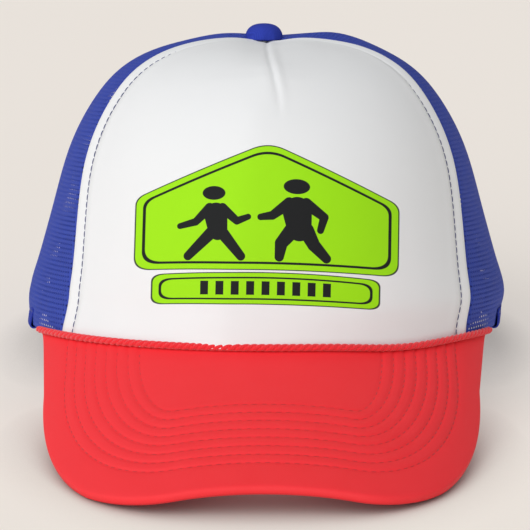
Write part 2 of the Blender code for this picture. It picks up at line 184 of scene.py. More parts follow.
def twill_weave(across, along, pitch):
    """Height of a twill, 0 to 1: slanting ribs that cross threads break up."""
    rib = abs(((across + along) * (math.pi / pitch)).sine())
    thread = abs(((across - along) * (math.pi / pitch * 0.5)).sine())
    return rib * (0.65 + 0.35 * thread)


# ---------------------------------------------------------------- studio
# A plain pale table, lit a little from inside so that shadows on it stay faint, a large soft
# light from the upper left and a weak one from the right, and the camera a little above the
# level of the rim.
TABLE_COLOUR = (0.47, 0.44, 0.41)
TABLE_FLECK = (0.46, 0.43, 0.40)
TABLE_GLOW = (1.0, 0.935, 0.865)
# The glow fades where something stands this close: a painted contact shadow that keeps the shade
# under the cap dark.
CONTACT_REACH = 0.022
CONTACT_POWER = 2.4
bpy.ops.object.select_all(action="DESELECT")
bpy.ops.mesh.primitive_plane_add(size=14.0, location=(0.0, 3.0, 0.0))
table = bpy.context.object
table.name = "table_top"
table_look = Look(
    "pale_table", Roughness=0.75, Specular_IOR_Level=0.2, Emission_Strength=0.44
)
paper = table_look.noise(table_look.place(), 3.0)
# Ambient occlusion dims the table's glow beside the cap: painted contact shadow.
open_air = table_look.node("AmbientOcclusion", {"samples": 16}, {"Distance": CONTACT_REACH}, 1)
table_look.surface(
    Emission_Color=table_look.blend(open_air**CONTACT_POWER, (0.0, 0.0, 0.0), TABLE_GLOW),
    Base_Color=table_look.blend(paper, TABLE_COLOUR, TABLE_FLECK),
)
table.data.materials.append(table_look.material)

sky = bpy.data.worlds.new("studio")
sky.use_nodes = True
sky.node_tree.nodes["Background"].inputs["Color"].default_value = (1.0, 1.0, 1.0, 1.0)
sky.node_tree.nodes["Background"].inputs["Strength"].default_value = 0.36
bpy.context.scene.world = sky
bpy.context.scene.view_settings.view_transform = "Standard"


def stand(name, data, backwards, place=(0.0, 0.0, 0.0)):
    """Sets up a lamp or a camera that looks away from where backwards points."""
    obj = bpy.data.objects.new(name, data)
    bpy.context.scene.collection.objects.link(obj)
    obj.location = place
    obj.rotation_mode = "QUATERNION"
    obj.rotation_quaternion = Vector(backwards).to_track_quat("Z", "Y")
    return obj


def distant_light(name, from_where, spread, strength):
    """A far, wide light: it shines evenly over the whole table from one direction."""
    lamp = bpy.data.lights.new(name, "SUN")
    lamp.angle = math.radians(spread)
    lamp.energy = strength
    stand(name, lamp, from_where)


distant_light("window_light", (-0.58, -0.74, 0.72), 60, 1.95)
distant_light("room_light", (0.4, -1.0, 0.9), 80, 0.30)

DISTANCE = 1.15
ABOVE_RIM = math.radians(6.0)
LENS = 211.1
AIM = (0.00037, 0.0189)
sight = np.array((0.0, math.cos(ABOVE_RIM), -math.sin(ABOVE_RIM)))
upright = np.array((0.0, math.sin(ABOVE_RIM), math.cos(ABOVE_RIM)))
eye = to_table(-DISTANCE * sight)
target = to_table(AIM[0] * np.array((1.0, 0.0, 0.0)) + AIM[1] * upright)
camera_data = bpy.data.cameras.new("camera")
camera_data.lens = LENS
camera_data.sensor_width = 36.0
bpy.context.scene.camera = stand("camera", camera_data, eye - target, eye)


# ---------------------------------------------------------------- front panel
# One piece of smooth white polyester laminated on foam, cut from rim to button, with a dart
# at its top and a printed badge. Its side edges roll in to the seams, and a row of
# topstitching presses a groove beside each.
HALF_WIDTH = 0.089
HALF_LENGTH = 0.100
CROWN_HEIGHT = 0.103
APEX_SHIFT = -0.0063
# Height and width exponents and taper of the crown's outline at its front, side and back.
FRONT_OUTLINE = (3.27, 2.55, 0.108)
SIDE_OUTLINE = (3.27, 3.50, 0.200)
BACK_OUTLINE = (2.16, 1.97, 0.077)
OUTLINE_BLEND = 1.3
# Over the sides the rim is drawn in, where the visor's tips and the sweatband pull at it.
TUCK = 0.0034
TUCK_HEIGHT = 0.0105
TUCK_REACH = math.radians(34)

# The cap has been worn: above the rim it leans a little to the right, its sides are drawn in
# at mid height and fuller above, and its back stands a little proud beside the button. Each
# swell is a size, a place and a reach.
SWAY = 0.0011
FRONT_SWAY = 0.0017
SWAY_START = 0.014
WAIST = (-0.0017, 0.042, 0.022)
SHOULDER = (0.0013, 0.095, 0.012)
HIP = (0.0007, 0.014, 0.007)
PROUD_BACK = (0.0022, 0.021, 0.015)
PROUD_SHIFT = 0.006
PROUD_FROM, PROUD_RUN = math.radians(63), math.radians(24)
# The front of the rim sags a little, most of all to the right of the middle.
SAG = 0.0009
SAG_REACH = 0.085
RIGHT_SAG = (0.0014, 0.047, 0.018)
SAG_HEIGHT = 0.020


def bell(distance, width):
    return np.exp(-((distance / width) ** 2))


def ramp(value, start, run):
    """0 up to start, then evenly up to 1 over the run."""
    return np.clip((value - start) / run, 0, 1)


def swells(distance, *sizes):
    return sum(size * bell(distance - place, reach) for size, place, reach in sizes)


def rim_sag(sideways):
    even = SAG * np.clip(1 - (sideways / SAG_REACH) ** 4, 0, 1)
    return even + swells(sideways, RIGHT_SAG)


def outline_at(angle):
    front = np.maximum(np.cos(angle), 0.0) ** OUTLINE_BLEND
    back = np.maximum(-np.cos(angle), 0.0) ** OUTLINE_BLEND
    return [
        side + (ahead - side) * front + (behind - side) * back
        for side, ahead, behind in zip(SIDE_OUTLINE, FRONT_OUTLINE, BACK_OUTLINE)
    ]


def crown_point(angle, rise):
    """The crown's outer surface. rise runs from 0 at the rim to a quarter turn at the apex."""
    m, q, taper = outline_at(angle)
    height = np.sin(rise) ** (2 / m)
    radius = np.cos(rise) ** (2 / q) * (1 - taper * height)
    off_side = np.clip((np.abs(angle) - math.pi / 2) / TUCK_REACH, -1, 1)
    low = np.clip(1 - height * CROWN_HEIGHT / TUCK_HEIGHT, 0, 1)
    radius = radius - TUCK / HALF_WIDTH * np.cos(off_side * math.pi / 2) ** 2 * low**1.6
    level = CROWN_HEIGHT * height
    off_button = np.clip(radius * 3 - 0.15, 0, 1)
    wider = swells(level, WAIST, SHOULDER, HIP)
    sway = SWAY + FRONT_SWAY * np.maximum(np.cos(angle), 0)
    start = ramp(level, 0, SWAY_START)
    sway = sway * start * start * (3 - 2 * start) * off_button
    behind = ramp(np.abs(angle), PROUD_FROM, PROUD_RUN)
    sideways = np.sin(angle)
    proud = swells(radius * HALF_LENGTH - PROUD_SHIFT * sideways, PROUD_BACK)
    proud = proud * behind * (1 + 0.2 * sideways)
    sag = rim_sag(HALF_WIDTH * sideways * radius) * np.clip(2.5 * np.cos(angle), 0, 1)
    sag = sag * np.clip(1 - level / SAG_HEIGHT, 0, 1) ** 2
    return np.stack(
        (
            sideways * (HALF_WIDTH * radius + wider * off_button) + sway,
            APEX_SHIFT * (1 - radius) - HALF_LENGTH * np.cos(angle) * radius,
            level + proud - sag,
        ),
        axis=-1,
    )


def unit(vectors):
    return vectors / np.maximum(np.linalg.norm(vectors, axis=-1, keepdims=True), 1e-12)


def crown_normal(angle, rise):
    step = 0.01
    high = np.minimum(np.maximum(rise, 2 * step) + step, math.pi / 2 - 0.002)
    low, middle = high - 2 * step, high - step
    along = crown_point(angle + step, middle) - crown_point(angle - step, middle)
    upward = crown_point(angle, high) - crown_point(angle, low)
    return unit(np.cross(along, upward))


def crown_layer(angle, rise, depth):
    """A point a given depth inside the crown's outer surface."""
    depth = np.asarray(depth, float)[..., None]
    return crown_point(angle, rise) - depth * crown_normal(angle, rise)


def rise_at(angle, height):
    m = outline_at(angle)[0]
    return np.arcsin(np.minimum((height / CROWN_HEIGHT) ** (m / 2), 1.0))


def rise_near_apex(angle, distance):
    q = outline_at(angle)[1]
    return np.arccos((distance / HALF_LENGTH) ** (q / 2))


def eased(fraction):
    """Spreads rows evenly over an outline that is steep at both of its ends."""
    start = fraction**1.6
    end = (1 - fraction) ** 1.75
    return start / (start + end)


FRONT_SEAM_RIM = math.radians(53.5)
FRONT_SEAM_APEX = math.radians(66.0)
APEX_HOLE = 0.0042
SEAM_GAP = 0.0004
SEAM_BULGE = (0.066, 0.056, 0.032)


def front_seam(rise):
    level = CROWN_HEIGHT * np.sin(rise) ** (2 / SIDE_OUTLINE[0])
    drift = (FRONT_SEAM_APEX - FRONT_SEAM_RIM) * np.sin(rise) ** 1.2
    return FRONT_SEAM_RIM + drift + swells(level, SEAM_BULGE)


def turn_radius(angle, rise):
    """Distance from the crown's upright axis."""
    point = crown_point(angle, rise)
    return np.maximum(np.hypot(point[..., 0], point[..., 1] - APEX_SHIFT), APEX_HOLE)


def corners_of(obj):
    flat = np.empty(len(obj.data.vertices) * 3)
    obj.data.vertices.foreach_get("co", flat)
    return flat.reshape(-1, 3)


def move_corners(obj, points):
    obj.data.vertices.foreach_set("co", np.asarray(points, np.float32).ravel())
    obj.data.update()


def flat_cloth(obj, name, across, along):
    """A UV map in millimetres from one pair of numbers for each vertex."""
    spots = np.stack((across, along), axis=-1) * 1000
    index = np.empty(len(obj.data.loops), np.int32)
    obj.data.loops.foreach_get("vertex_index", index)
    obj.data.uv_layers.new(name=name, do_init=False)
    obj.data.uv_layers[name].uv.foreach_set("vector", spots[index].astype(np.float32).ravel())


def unit_grid(name, columns, rows):
    """A grid, and how far across and up each of its corners lies, both 0 to 1."""
    bpy.ops.object.select_all(action="DESELECT")
    bpy.ops.mesh.primitive_grid_add(
        x_subdivisions=columns, y_subdivisions=rows, size=2, calc_uvs=False
    )
    obj = bpy.context.object
    obj.name = obj.data.name = name
    across, up = np.clip(corners_of(obj)[:, :2] / 2 + 0.5, 0, 1).T
    return obj, across, up


def laid_grid(name, columns, rows, place):
    """A grid laid out by place(across, up). Its UV map is the cloth, flat."""
    obj, across, up = unit_grid(name, columns, rows)
    points, cloth = place(across, up)
    move_corners(obj, to_table(points))
    flat_cloth(obj, "cloth", *cloth)
    return obj


def pick(obj, others=()):
    bpy.ops.object.select_all(action="DESELECT")
    for each in (obj, *others):
        each.select_set(True)
    bpy.context.view_layer.objects.active = obj


def apply_modifiers(obj):
    pick(obj)
    for modifier in list(obj.modifiers):
        bpy.ops.object.modifier_apply(modifier=modifier.name)


def thicken(obj, thickness):
    """Gives a sheet its wall, inwards."""
    solid = obj.modifiers.new("wall", "SOLIDIFY")
    solid.thickness = thickness
    solid.offset = -1
    apply_modifiers(obj)


def deliver(obj, look, nodes=(), body="crown", sharp=45):
    """Smooths a finished piece, gives it its material and hangs it on its body."""
    obj.data.materials.clear()
    obj.data.materials.append(look.material)
    obj.data.shade_smooth()
    obj.data.set_sharp_from_angle(angle=math.radians(sharp))
    if nodes:
        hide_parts(*nodes)
    if body:
        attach(obj, body)


FACE_CLOTH = 0.0006
FOAM = 0.0025
LINING = 0.0005
LAYER_GAP = 0.0003
TOPSTITCH_INSET = 0.0066
# How the front is pressed in and puffed out, going in from its seam and across its dart.
SEAM_PROFILE = (
    (-0.00075, 0.0, 0.0011),
    (0.00042, 0.0027, 0.0017),
    (-0.00062, TOPSTITCH_INSET, 0.00062),
    (-0.00022, TOPSTITCH_INSET, 0.0021),
    (0.00018, 0.0100, 0.0024),
)
DART_PROFILE = ((-0.0010, 0.0, 0.00085), (0.00062, 0.0019, 0.0015), (0.00025, -0.0030, 0.0022))
# The two halves of the front meet in a soft ridge that leans over to the left below.
RIDGE = 0.0024
RIDGE_ROUND = 0.0040
RIDGE_REACH = 0.016
RIDGE_END, RIDGE_FADE = 0.0885, 0.012
# Below the button the front dips, and the dart's fold runs down out of the dip.
DIP = (-0.0018, 0.0015, 0.0085)
DIP_START, DIP_RUN = 0.0925, 0.0085
DART_START, DART_RUN = 0.0765, 0.022


def front_relief(angle, rise, point, edge):
    """How far the front stands proud of the crown's plain shape."""
    relief = swells((edge - np.abs(angle)) * turn_radius(angle, rise), *SEAM_PROFILE)
    sideways, height = point[..., 0], point[..., 2]
    ridge_x = np.interp(height, (0.0, 0.079, 0.091), (-0.0150, -0.0030, 0.0030))
    beside_ridge = np.sqrt((sideways - ridge_x) ** 2 + RIDGE_ROUND**2) - RIDGE_ROUND
    fade = 1 - ramp(height, RIDGE_END, RIDGE_FADE)
    relief = relief + RIDGE * fade * np.exp(-beside_ridge / RIDGE_REACH)
    relief = relief + swells(sideways, DIP) * ramp(height, DIP_START, DIP_RUN)
    dart_x = np.interp(height, (0.070, 0.082, 0.0945, 0.1015), (0.0058, 0.0050, 0.0022, 0.0011))
    strength = ramp(height, DART_START, DART_RUN) ** 0.8 * (0.4 + 0.6 * fade)
    return relief + swells(sideways - dart_x, *DART_PROFILE) * strength


def front_layer(depth):
    def place(across, up):
        rise = eased(up) * rise_near_apex(0.0, APEX_HOLE)
        edge = front_seam(rise) - SEAM_GAP / 2 / turn_radius(front_seam(rise), rise)
        angle = (2 * across - 1) * edge
        plain = crown_point(angle, rise)
        relief = front_relief(angle, rise, plain, edge)
        points = crown_layer(angle, rise, depth - relief)
        return points, (plain[..., 0], plain[..., 2])

    return place


BADGE_TURN = math.radians(1.3)
BADGE_MIDDLE = 0.00065
BADGE_FOOT = 0.0261
BADGE_SAG = 0.0031 / 0.048**2

front = laid_grid("front_panel_cloth", 190, 150, front_layer(0.0))
thicken(front, FACE_CLOTH)
in_crown = (corners_of(front) - crown_origin) @ lean_back
beside_badge = in_crown[:, 0] - BADGE_MIDDLE
above_foot = in_crown[:, 2] + BADGE_SAG * in_crown[:, 0] ** 2 - BADGE_FOOT
flat_cloth(
    front,
    "badge",
    beside_badge * math.cos(BADGE_TURN) - above_foot * math.sin(BADGE_TURN),
    beside_badge * math.sin(BADGE_TURN) + above_foot * math.cos(BADGE_TURN),
)

# The badge is dye printed into the cloth: a five-sided board in yellow-green with two
# walking figures, over a low plate with upright bars. All sizes are in millimetres.
front_look = Look("front_cloth", Specular_IOR_Level=0.25)
badge = front_look.flat_place("badge")
badge_x, badge_y, _ = badge.parts()


def rounded_corner(first, second, soft):
    """Where two edges cross, both distances outwards, the corner rounded."""
    near = (soft - abs(first - second)).most(0.0)
    return first.most(second) + near * near * (0.25 / soft)


def inked(distance, sharpness=9.0):
    """1 inside a shape and 0 outside it."""
    return (0.5 - distance * sharpness).clamped()


def limb(start, end, thick, thin):
    """Distance to a straight limb that narrows from its start to its end."""
    run = np.subtract(end, start)
    length = float(run @ run)
    start, run = (*start, 0.0), (*run, 0.0)

    def vector(operation, sockets, output=0):
        return front_look.node("VectorMath", {"operation": operation}, sockets, output)

    local = vector("SUBTRACT", {0: badge, 1: start})
    share = (vector("DOT_PRODUCT", {0: local, 1: run}, 1) / length).clamped()
    spine = vector("SCALE", {0: run, "Scale": share})
    away = vector("LENGTH", {0: vector("SUBTRACT", {0: local, 1: spine})}, 1)
    return away - (thick + (thin - thick) * share)


def head(centre, half_width, half_height):
    wide = (badge_x - centre[0]) / half_width
    tall = (badge_y - centre[1]) / half_height
    return ((wide * wide + tall * tall) ** 0.5 - 1) * half_height


BOARD_HALF = 45.25
BOARD_SHOULDER = 24.1
ROOF = math.atan(0.405)
SIDE_SHARE = 0.73
left_roof, right_roof = (
    (badge_y - BOARD_SHOULDER) * math.cos(ROOF) + (badge_x * sign - BOARD_HALF) * math.sin(ROOF)
    for sign in (-1, 1)
)
sides = (abs(badge_x) - BOARD_HALF) * SIDE_SHARE
board = rounded_corner(rounded_corner(left_roof, right_roof, 4.2), sides, 2.4)
board = rounded_corner(board, 0 - badge_y, 4.4)

PLATE_HALF = 38.9
plate_top = badge_y + 1.0 + badge_x * badge_x * 0.0005
plate_ends = (abs(badge_x) - PLATE_HALF) * 0.6
plate = rounded_corner(rounded_corner(plate_top, -11.6 - badge_y, 0.5), plate_ends, 2.6)

figures = [
    head((-18.2, 25.4), 3.9, 2.3),
    limb((-17.4, 18.2), (-16.6, 13.0), 4.0, 3.3),
    limb((-18.4, 12.6), (-26.6, 4.4), 2.1, 1.5),
    limb((-15.4, 12.6), (-8.6, 4.4), 2.1, 1.5),
    limb((-19.6, 20.4), (-24.2, 15.8), 1.7, 1.3),
    limb((-24.2, 15.8), (-29.6, 14.4), 1.3, 1.0),
    limb((-15.2, 20.4), (-10.2, 16.2), 1.7, 1.3),
    limb((-10.2, 16.2), (-6.4, 17.6), 1.3, 1.0),
    head((9.9, 28.0), 4.5, 2.5),
    limb((10.2, 19.6), (11.0, 14.0), 5.0, 4.2),
    limb((8.6, 13.4), (5.0, 9.0), 2.7, 2.2),
    limb((5.0, 9.0), (4.4, 4.4), 2.2, 1.6),
    limb((13.4, 13.4), (16.0, 8.8), 2.7, 2.2),
    limb((16.0, 8.8), (20.4, 4.4), 2.2, 1.6),
    limb((7.4, 22.4), (1.8, 18.2), 2.0, 1.5),
    limb((1.8, 18.2), (-2.2, 17.6), 1.5, 1.1),
    limb((13.2, 22.4), (19.4, 18.2), 2.0, 1.5),
    limb((19.4, 18.2), (18.2, 13.8), 1.5, 1.2),
]
walkers = figures[0]
for shape in figures[1:]:
    walkers = walkers.least(shape)

BAR_PITCH = 5.2
BAR_HALF = 1.35
bar_side = abs((badge_x / BAR_PITCH + 40.5).fraction() - 0.5) * BAR_PITCH
bars = (bar_side - BAR_HALF).most(abs(badge_x) - 24.5).most(abs(badge_y + 6.2) - 2.3)

# Each printed line: how far in from the outline it runs, and half its width.
BOARD_LINE = (2.25, 0.40)
PLATE_LINE = (1.72, 0.28)
board_line = abs(board + BOARD_LINE[0]) - BOARD_LINE[1]
plate_line = abs(plate + PLATE_LINE[0]) - PLATE_LINE[1]
edge_line = abs(board.least(plate)) - 0.17
shape_of_badge = inked(board.least(plate))
ink = inked(walkers.least(bars).least(board_line).least(plate_line))
faint_ink = inked(edge_line) * 0.95

front_cloth_x, front_cloth_y = front_look.cloth()
knit = plain_weave(front_cloth_x, front_cloth_y, 0.34)
wash = front_look.noise(front_look.place(), 45.0)
white = front_look.blend(wash, (0.825, 0.835, 0.845), (0.845, 0.855, 0.865))
green = front_look.blend(wash, (0.335, 0.775, 0.003), (0.355, 0.805, 0.004))
painted = front_look.blend(shape_of_badge, white, green)
painted = front_look.blend(ink.most(faint_ink), painted, (0.008, 0.009, 0.010))
front_look.surface(
    Base_Color=painted,
    Roughness=0.62 + 0.14 * knit,
    Normal=front_look.bump(knit + 0.8 * wash, 0.00004),
)
deliver(front, front_look, ["front_panel"])

# ---------------------------------------------------------------- foam and lining
# Behind the front's cloth lies soft polyurethane foam, laminated to it, and behind the foam a
# thin brushed lining, all three cut alike and caught in the same seams.
foam_look = Look("cream_foam", Roughness=0.95, Specular_IOR_Level=0.1)
cells = foam_look.node("TexVoronoi", {}, {"Vector": foam_look.place(), "Scale": 1400.0})
foam_look.surface(
    Base_Color=foam_look.blend(cells, (0.62, 0.61, 0.55), (0.86, 0.85, 0.79)),
    Normal=foam_look.bump(cells, 0.0003),
)
lining_look = Look("brushed_lining", Roughness=0.9, Sheen_Weight=0.3, Specular_IOR_Level=0.15)
lining_across, lining_along = lining_look.cloth()
wale = abs((lining_across * (math.pi / 0.8)).sine())
course = abs((lining_along * (math.pi / 0.6)).sine())
nap = lining_look.noise(lining_look.place(), 900.0)
lining_look.surface(
    Base_Color=lining_look.blend(nap, (0.66, 0.66, 0.68), (0.80, 0.80, 0.82)),
    Normal=lining_look.bump(wale * 0.7 + course * 0.3 + nap * 0.5, 0.00009),
)
foam_depth = FACE_CLOTH + LAYER_GAP
lining_depth = foam_depth + FOAM + LAYER_GAP
for name, depth, wall, look, slot, node in (
    ("front_foam_sheet", foam_depth, FOAM, foam_look, "foam", "front_foam"),
    ("front_lining_cloth", lining_depth, LINING, lining_look, "tricot_lining", "front_lining"),
):
    layer = laid_grid(name, 96, 76, front_layer(depth))
    thicken(layer, wall)
    deliver(layer, look, [node])


# ---------------------------------------------------------------- front topstitching
# A row of navy polyester thread runs up each side of the front, a finger's breadth inside the
# seam, sewn through cloth, foam and tape and pulled down into its groove.
THREAD_PROUD = 0.00042
SIDES = (("left", -1), ("right", 1))


def spread_along(points):
    """Distances along a line of points."""
    gaps = np.linalg.norm(np.diff(points, axis=0), axis=1)
    return np.concatenate([[0.0], np.cumsum(gaps)])


def at_distance(points, distances, wanted):
    return np.stack([np.interp(wanted, distances, points[:, axis]) for axis in range(3)], axis=-1)


def stitch_row(name, points, outward, pitch, length, radius=0.00020, sink=0.0003):
    """One stitch is modelled and copied along a line of points; its ends dive into the cloth."""
    bpy.ops.object.select_all(action="DESELECT")
    bpy.ops.mesh.primitive_uv_sphere_add(
        segments=6, ring_count=6, radius=1, rotation=(0, math.pi / 2, 0)
    )
    stitch = bpy.context.object
    bpy.ops.object.transform_apply(location=False, rotation=True, scale=False)
    shape = corners_of(stitch)
    faces = [np.array(face.vertices) for face in stitch.data.polygons]
    bpy.data.objects.remove(stitch)
    distances = spread_along(points)
    count = int((distances[-1] - length) / pitch)
    starts = (np.arange(count) + 0.5) * (distances[-1] / count)
    along = np.sign(shape[:, 0]) * np.abs(shape[:, 0]) ** 0.8
    wanted = starts[:, None] + along[None, :] * length / 2
    middle = at_distance(points, distances, wanted)
    up = unit(at_distance(outward, distances, wanted))
    before, after = (at_distance(points, distances, wanted + step) for step in (-1e-4, 1e-4))
    side = unit(np.cross(unit(after - before), up))
    lift = shape[None, :, 2] * radius - sink * along[None, :] ** 4
    corners = middle + up * lift[..., None] + side * (shape[None, :, 1] * radius)[..., None]
    corners = to_table(corners.reshape(-1, 3))
    mesh = bpy.data.meshes.new(name)
    all_faces = [
        (face + index * len(shape)).tolist() for index in range(count) for face in faces
    ]
    mesh.from_pydata(corners.tolist(), [], all_faces)
    obj = bpy.data.objects.new(name, mesh)
    bpy.context.scene.collection.objects.link(obj)
    twist = np.tile(shape[:, 1] * radius, count)
    flat_cloth(obj, "cloth", wanted.ravel(), twist)
    return obj


def thread_finish(name, dark, light):
    """Two-ply sewing thread, its twist showing as slanting ribs."""
    look = Look(name, Roughness=0.5, Sheen_Weight=0.2)
    along, around = look.cloth()
    ply = abs((along * 4.2 + around * 9.0).sine())
    look.surface(Base_Color=look.blend(ply, dark, light), Normal=look.bump(ply, 0.00004))
    return look


navy_thread = thread_finish("navy_thread", (0.012, 0.016, 0.09), (0.03, 0.04, 0.20))
for side, sign in SIDES:
    share = np.linspace(0, 1, 240)
    rise = eased(0.004 + 0.80 * share) * rise_near_apex(0.0, APEX_HOLE)
    seam = front_seam(rise)
    radius = turn_radius(seam, rise)
    angle = sign * (seam - (TOPSTITCH_INSET + SEAM_GAP / 2) / radius)
    edge = seam - SEAM_GAP / 2 / radius
    relief = front_relief(angle, rise, crown_point(angle, rise), edge)
    proud = THREAD_PROUD * np.clip((0.74 - share) / 0.2, -0.8, 1)
    points = crown_layer(angle, rise, -relief - proud)
    row = stitch_row(
        f"front_topstitch_{side}_thread",
        points,
        crown_normal(angle, rise),
        pitch=0.0026,
        length=0.0025,
        radius=0.00016,
        sink=0.00026,
    )
    deliver(row, navy_thread, [f"front_topstitch_{side}"])


# ---------------------------------------------------------------- net panels
# Four panels of stiff royal blue polyester net with six-sided holes make the sides and back.
# The net is cut flat and sewn, so its holes keep their size and are cut off at the seams.
NET = 0.0008
NET_PITCH = 0.0019
STRAND_HALF = 0.00063
STRAND_RISE = 0.00024
NET_SHEET = 0.142
# The side nets reach this far under the front panel's edge, and dip to pass below it.
NET_UNDER = 0.0011
NET_DIP = 0.0013
SIDE_SEAM = math.radians(117.0)
ARCH_HALF_ANGLE = math.radians(31.0)
ARCH_HEIGHT = 0.047


def edit(obj):
    """Opens a piece for editing, with all of it selected."""
    pick(obj)
    bpy.ops.object.mode_set(mode="EDIT")
    bpy.ops.mesh.select_mode(type="VERT")
    bpy.ops.mesh.select_all(action="SELECT")


def joined(target, others):
    pick(target, others)
    bpy.ops.object.join()


def flat_net(name, width, height):
    """A flat net, width to either side of the middle of its foot."""
    cell = NET_PITCH / math.sqrt(3)
    bpy.ops.object.select_all(action="DESELECT")
    for column, row in ((0.0, 0.0), (0.5, 1.5)):
        spot = (-width / 2 + column * NET_PITCH, (row - 1) * cell, 0.0)
        bpy.ops.mesh.primitive_circle_add(
            vertices=6, radius=cell, fill_type="NGON", location=spot, calc_uvs=False
        )
        bpy.ops.object.transform_apply(location=True, rotation=False, scale=False)
        first = bpy.context.object if not column else first
    joined(first, [bpy.context.object])
    first.name = first.data.name = name
    for axis, step, length in ((0, NET_PITCH, width), (1, 3 * cell, height)):
        copies = first.modifiers.new("copies", "ARRAY")
        copies.use_relative_offset = False
        copies.use_constant_offset = True
        copies.constant_offset_displace = [step if axis == here else 0.0 for here in range(3)]
        copies.count = int(length / step) + 2
    apply_modifiers(first)
    edit(first)
    bpy.ops.mesh.remove_doubles(threshold=NET_PITCH * 0.02)
    bpy.ops.mesh.inset(thickness=STRAND_HALF, use_individual=True)
    bpy.ops.mesh.delete(type="ONLY_FACE")
    bpy.ops.object.mode_set(mode="OBJECT")
    # The corners shared by neighbouring holes are the middle of a strand: they stand proud.
    uses = np.zeros(len(first.data.vertices), int)
    for face in first.data.polygons:
        uses[list(face.vertices)] += 1
    points = corners_of(first)
    points[uses > 2, 2] = STRAND_RISE
    return first, points


def clip_net(net, points, keep):
    """Removes what lies outside, then closes the strands' front and back into one skin."""
    move_corners(net, points)
    edit(net)
    bpy.ops.mesh.select_all(action="DESELECT")
    bpy.ops.object.mode_set(mode="OBJECT")
    net.data.vertices.foreach_set("select", ~keep)
    bpy.ops.object.mode_set(mode="EDIT")
    bpy.ops.mesh.delete(type="VERT")
    bpy.ops.mesh.select_all(action="SELECT")
    bpy.ops.mesh.duplicate()
    bpy.ops.transform.resize(value=(1, 1, -1), center_override=(0, 0, 0))
    bpy.ops.mesh.flip_normals()
    bpy.ops.mesh.select_all(action="SELECT")
    bpy.ops.mesh.remove_doubles(threshold=1e-6)
    bpy.ops.mesh.select_all(action="DESELECT")
    bpy.ops.mesh.select_non_manifold(
        use_wire=False, use_multi_face=False, use_non_contiguous=False, use_verts=False
    )
    bpy.ops.transform.resize(value=(1, 1, 0), center_override=(0, 0, 0))
    bpy.ops.mesh.select_all(action="SELECT")
    bpy.ops.mesh.remove_doubles(threshold=1e-6)
    bpy.ops.mesh.normals_make_consistent(inside=False)
    bpy.ops.object.mode_set(mode="OBJECT")


def net_panel(name, sign, start, end, foot, node, under=0.0):
    """A net laid over the crown between two seams. foot(angle) is the rise of its lower edge."""
    middle = (start(0.6) + end) / 2
    top = rise_near_apex(middle, APEX_HOLE)
    rises = np.concatenate([[0.0], eased(np.linspace(0.001, 0.999, 600)), [1.0]]) * top
    heights = spread_along(crown_point(np.full_like(rises, middle), rises))
    near = crown_point(middle + 0.002, rises) - crown_point(middle - 0.002, rises)
    widths = np.linalg.norm(near, axis=-1) / 0.004

    def chart(points):
        rise = np.interp(points[:, 1], heights, rises)
        reach = np.interp(rise, rises, widths)
        return middle + points[:, 0] / reach, rise, reach

    net, points = flat_net(name, NET_SHEET, heights[-1])
    angle, rise, reach = chart(points)
    outside = np.maximum((start(rise) - angle) * reach - under, (angle - end) * reach)
    low = np.interp(foot(angle), rises, heights)
    outside = np.maximum(outside, low - points[:, 1])
    outside = np.maximum(outside, points[:, 1] - heights[-1])
    clip_net(net, points, outside < NET_PITCH * 0.6)
    points = corners_of(net)
    angle, rise, reach = chart(points)
    gap = SEAM_GAP / 2 / reach
    angle = np.clip(angle, start(rise) + gap - under / reach, end - gap)
    rise = np.clip(rise, foot(angle), top)
    past_seam = (angle - start(rise)) * reach
    dip = NET_DIP * (1 - ramp(past_seam, -0.0004, 0.0012)) * (under > 0)
    laid = crown_layer(sign * angle, rise, NET / 2 - points[:, 2] + dip)
    move_corners(net, to_table(laid))
    if sign < 0:
        net.data.flip_normals()
    flat_cloth(net, "cloth", points[:, 0], points[:, 1])
    deliver(net, net_look, [node], sharp=80)


def arch_edge(share):
    """The rear opening's edge, from its right foot (0) to its left foot (1)."""
    turn = np.pi * share
    return np.pi - ARCH_HALF_ANGLE * np.cos(turn), ARCH_HEIGHT * np.sin(turn) ** 0.9


def arch_foot(angle):
    """Rise of the rear panels' lower edge: the rim, and the arch over the opening."""
    from_middle = np.clip((np.pi - np.abs(angle)) / ARCH_HALF_ANGLE, -1, 1)
    height = ARCH_HEIGHT * np.maximum(1 - from_middle**2, 0) ** 0.45
    return rise_at(angle, height)


def side_seam(rise):
    return SIDE_SEAM + 0 * rise


ROYAL = (0.042, 0.082, 0.50)
ROYAL_DEEP = (0.028, 0.056, 0.38)
net_look = Look("royal_net", Specular_IOR_Level=0.35)
net_across, net_along = net_look.cloth()
filament = abs(((net_across + net_along) * (math.pi / 0.16)).sine())
shade = net_look.noise(net_look.place(), 260.0)
net_look.surface(
    Base_Color=net_look.blend(shade, ROYAL_DEEP, ROYAL),
    Roughness=0.48 + 0.2 * shade,
    Normal=net_look.bump(filament, 0.00004),
)
for side, sign in SIDES:
    node = f"side_mesh_{side}"
    net_panel(f"side_net_{side}", sign, front_seam, SIDE_SEAM, np.zeros_like, node, NET_UNDER)
    net_panel(f"rear_net_{side}", sign, side_seam, math.pi, arch_foot, f"rear_mesh_{side}")


# ---------------------------------------------------------------- seam tapes
# Inside, royal blue twill tape covers every seam from the hem to the button, held by a row of
# stitches along each of its edges.
TAPE_WIDTH = 0.009
TAPE = 0.0005
TAPE_GAP = 0.0011
HEM_LEG = 0.0060
TAPE_TOP = 0.013
TAPE_LENGTH = 0.12


def twill_finish(name, dark, light, pitch=0.55):
    look = Look(name, Roughness=0.85, Specular_IOR_Level=0.2)
    across, along = look.cloth()
    rib = twill_weave(across, along, pitch)
    tone = look.noise(look.place(), 120.0)
    look.surface(
        Base_Color=look.blend(rib * 0.7 + tone * 0.3, dark, light),
        Normal=look.bump(rib, 0.00009),
    )
    return look


blue_twill = twill_finish("royal_twill", (0.018, 0.034, 0.30), (0.030, 0.055, 0.44))


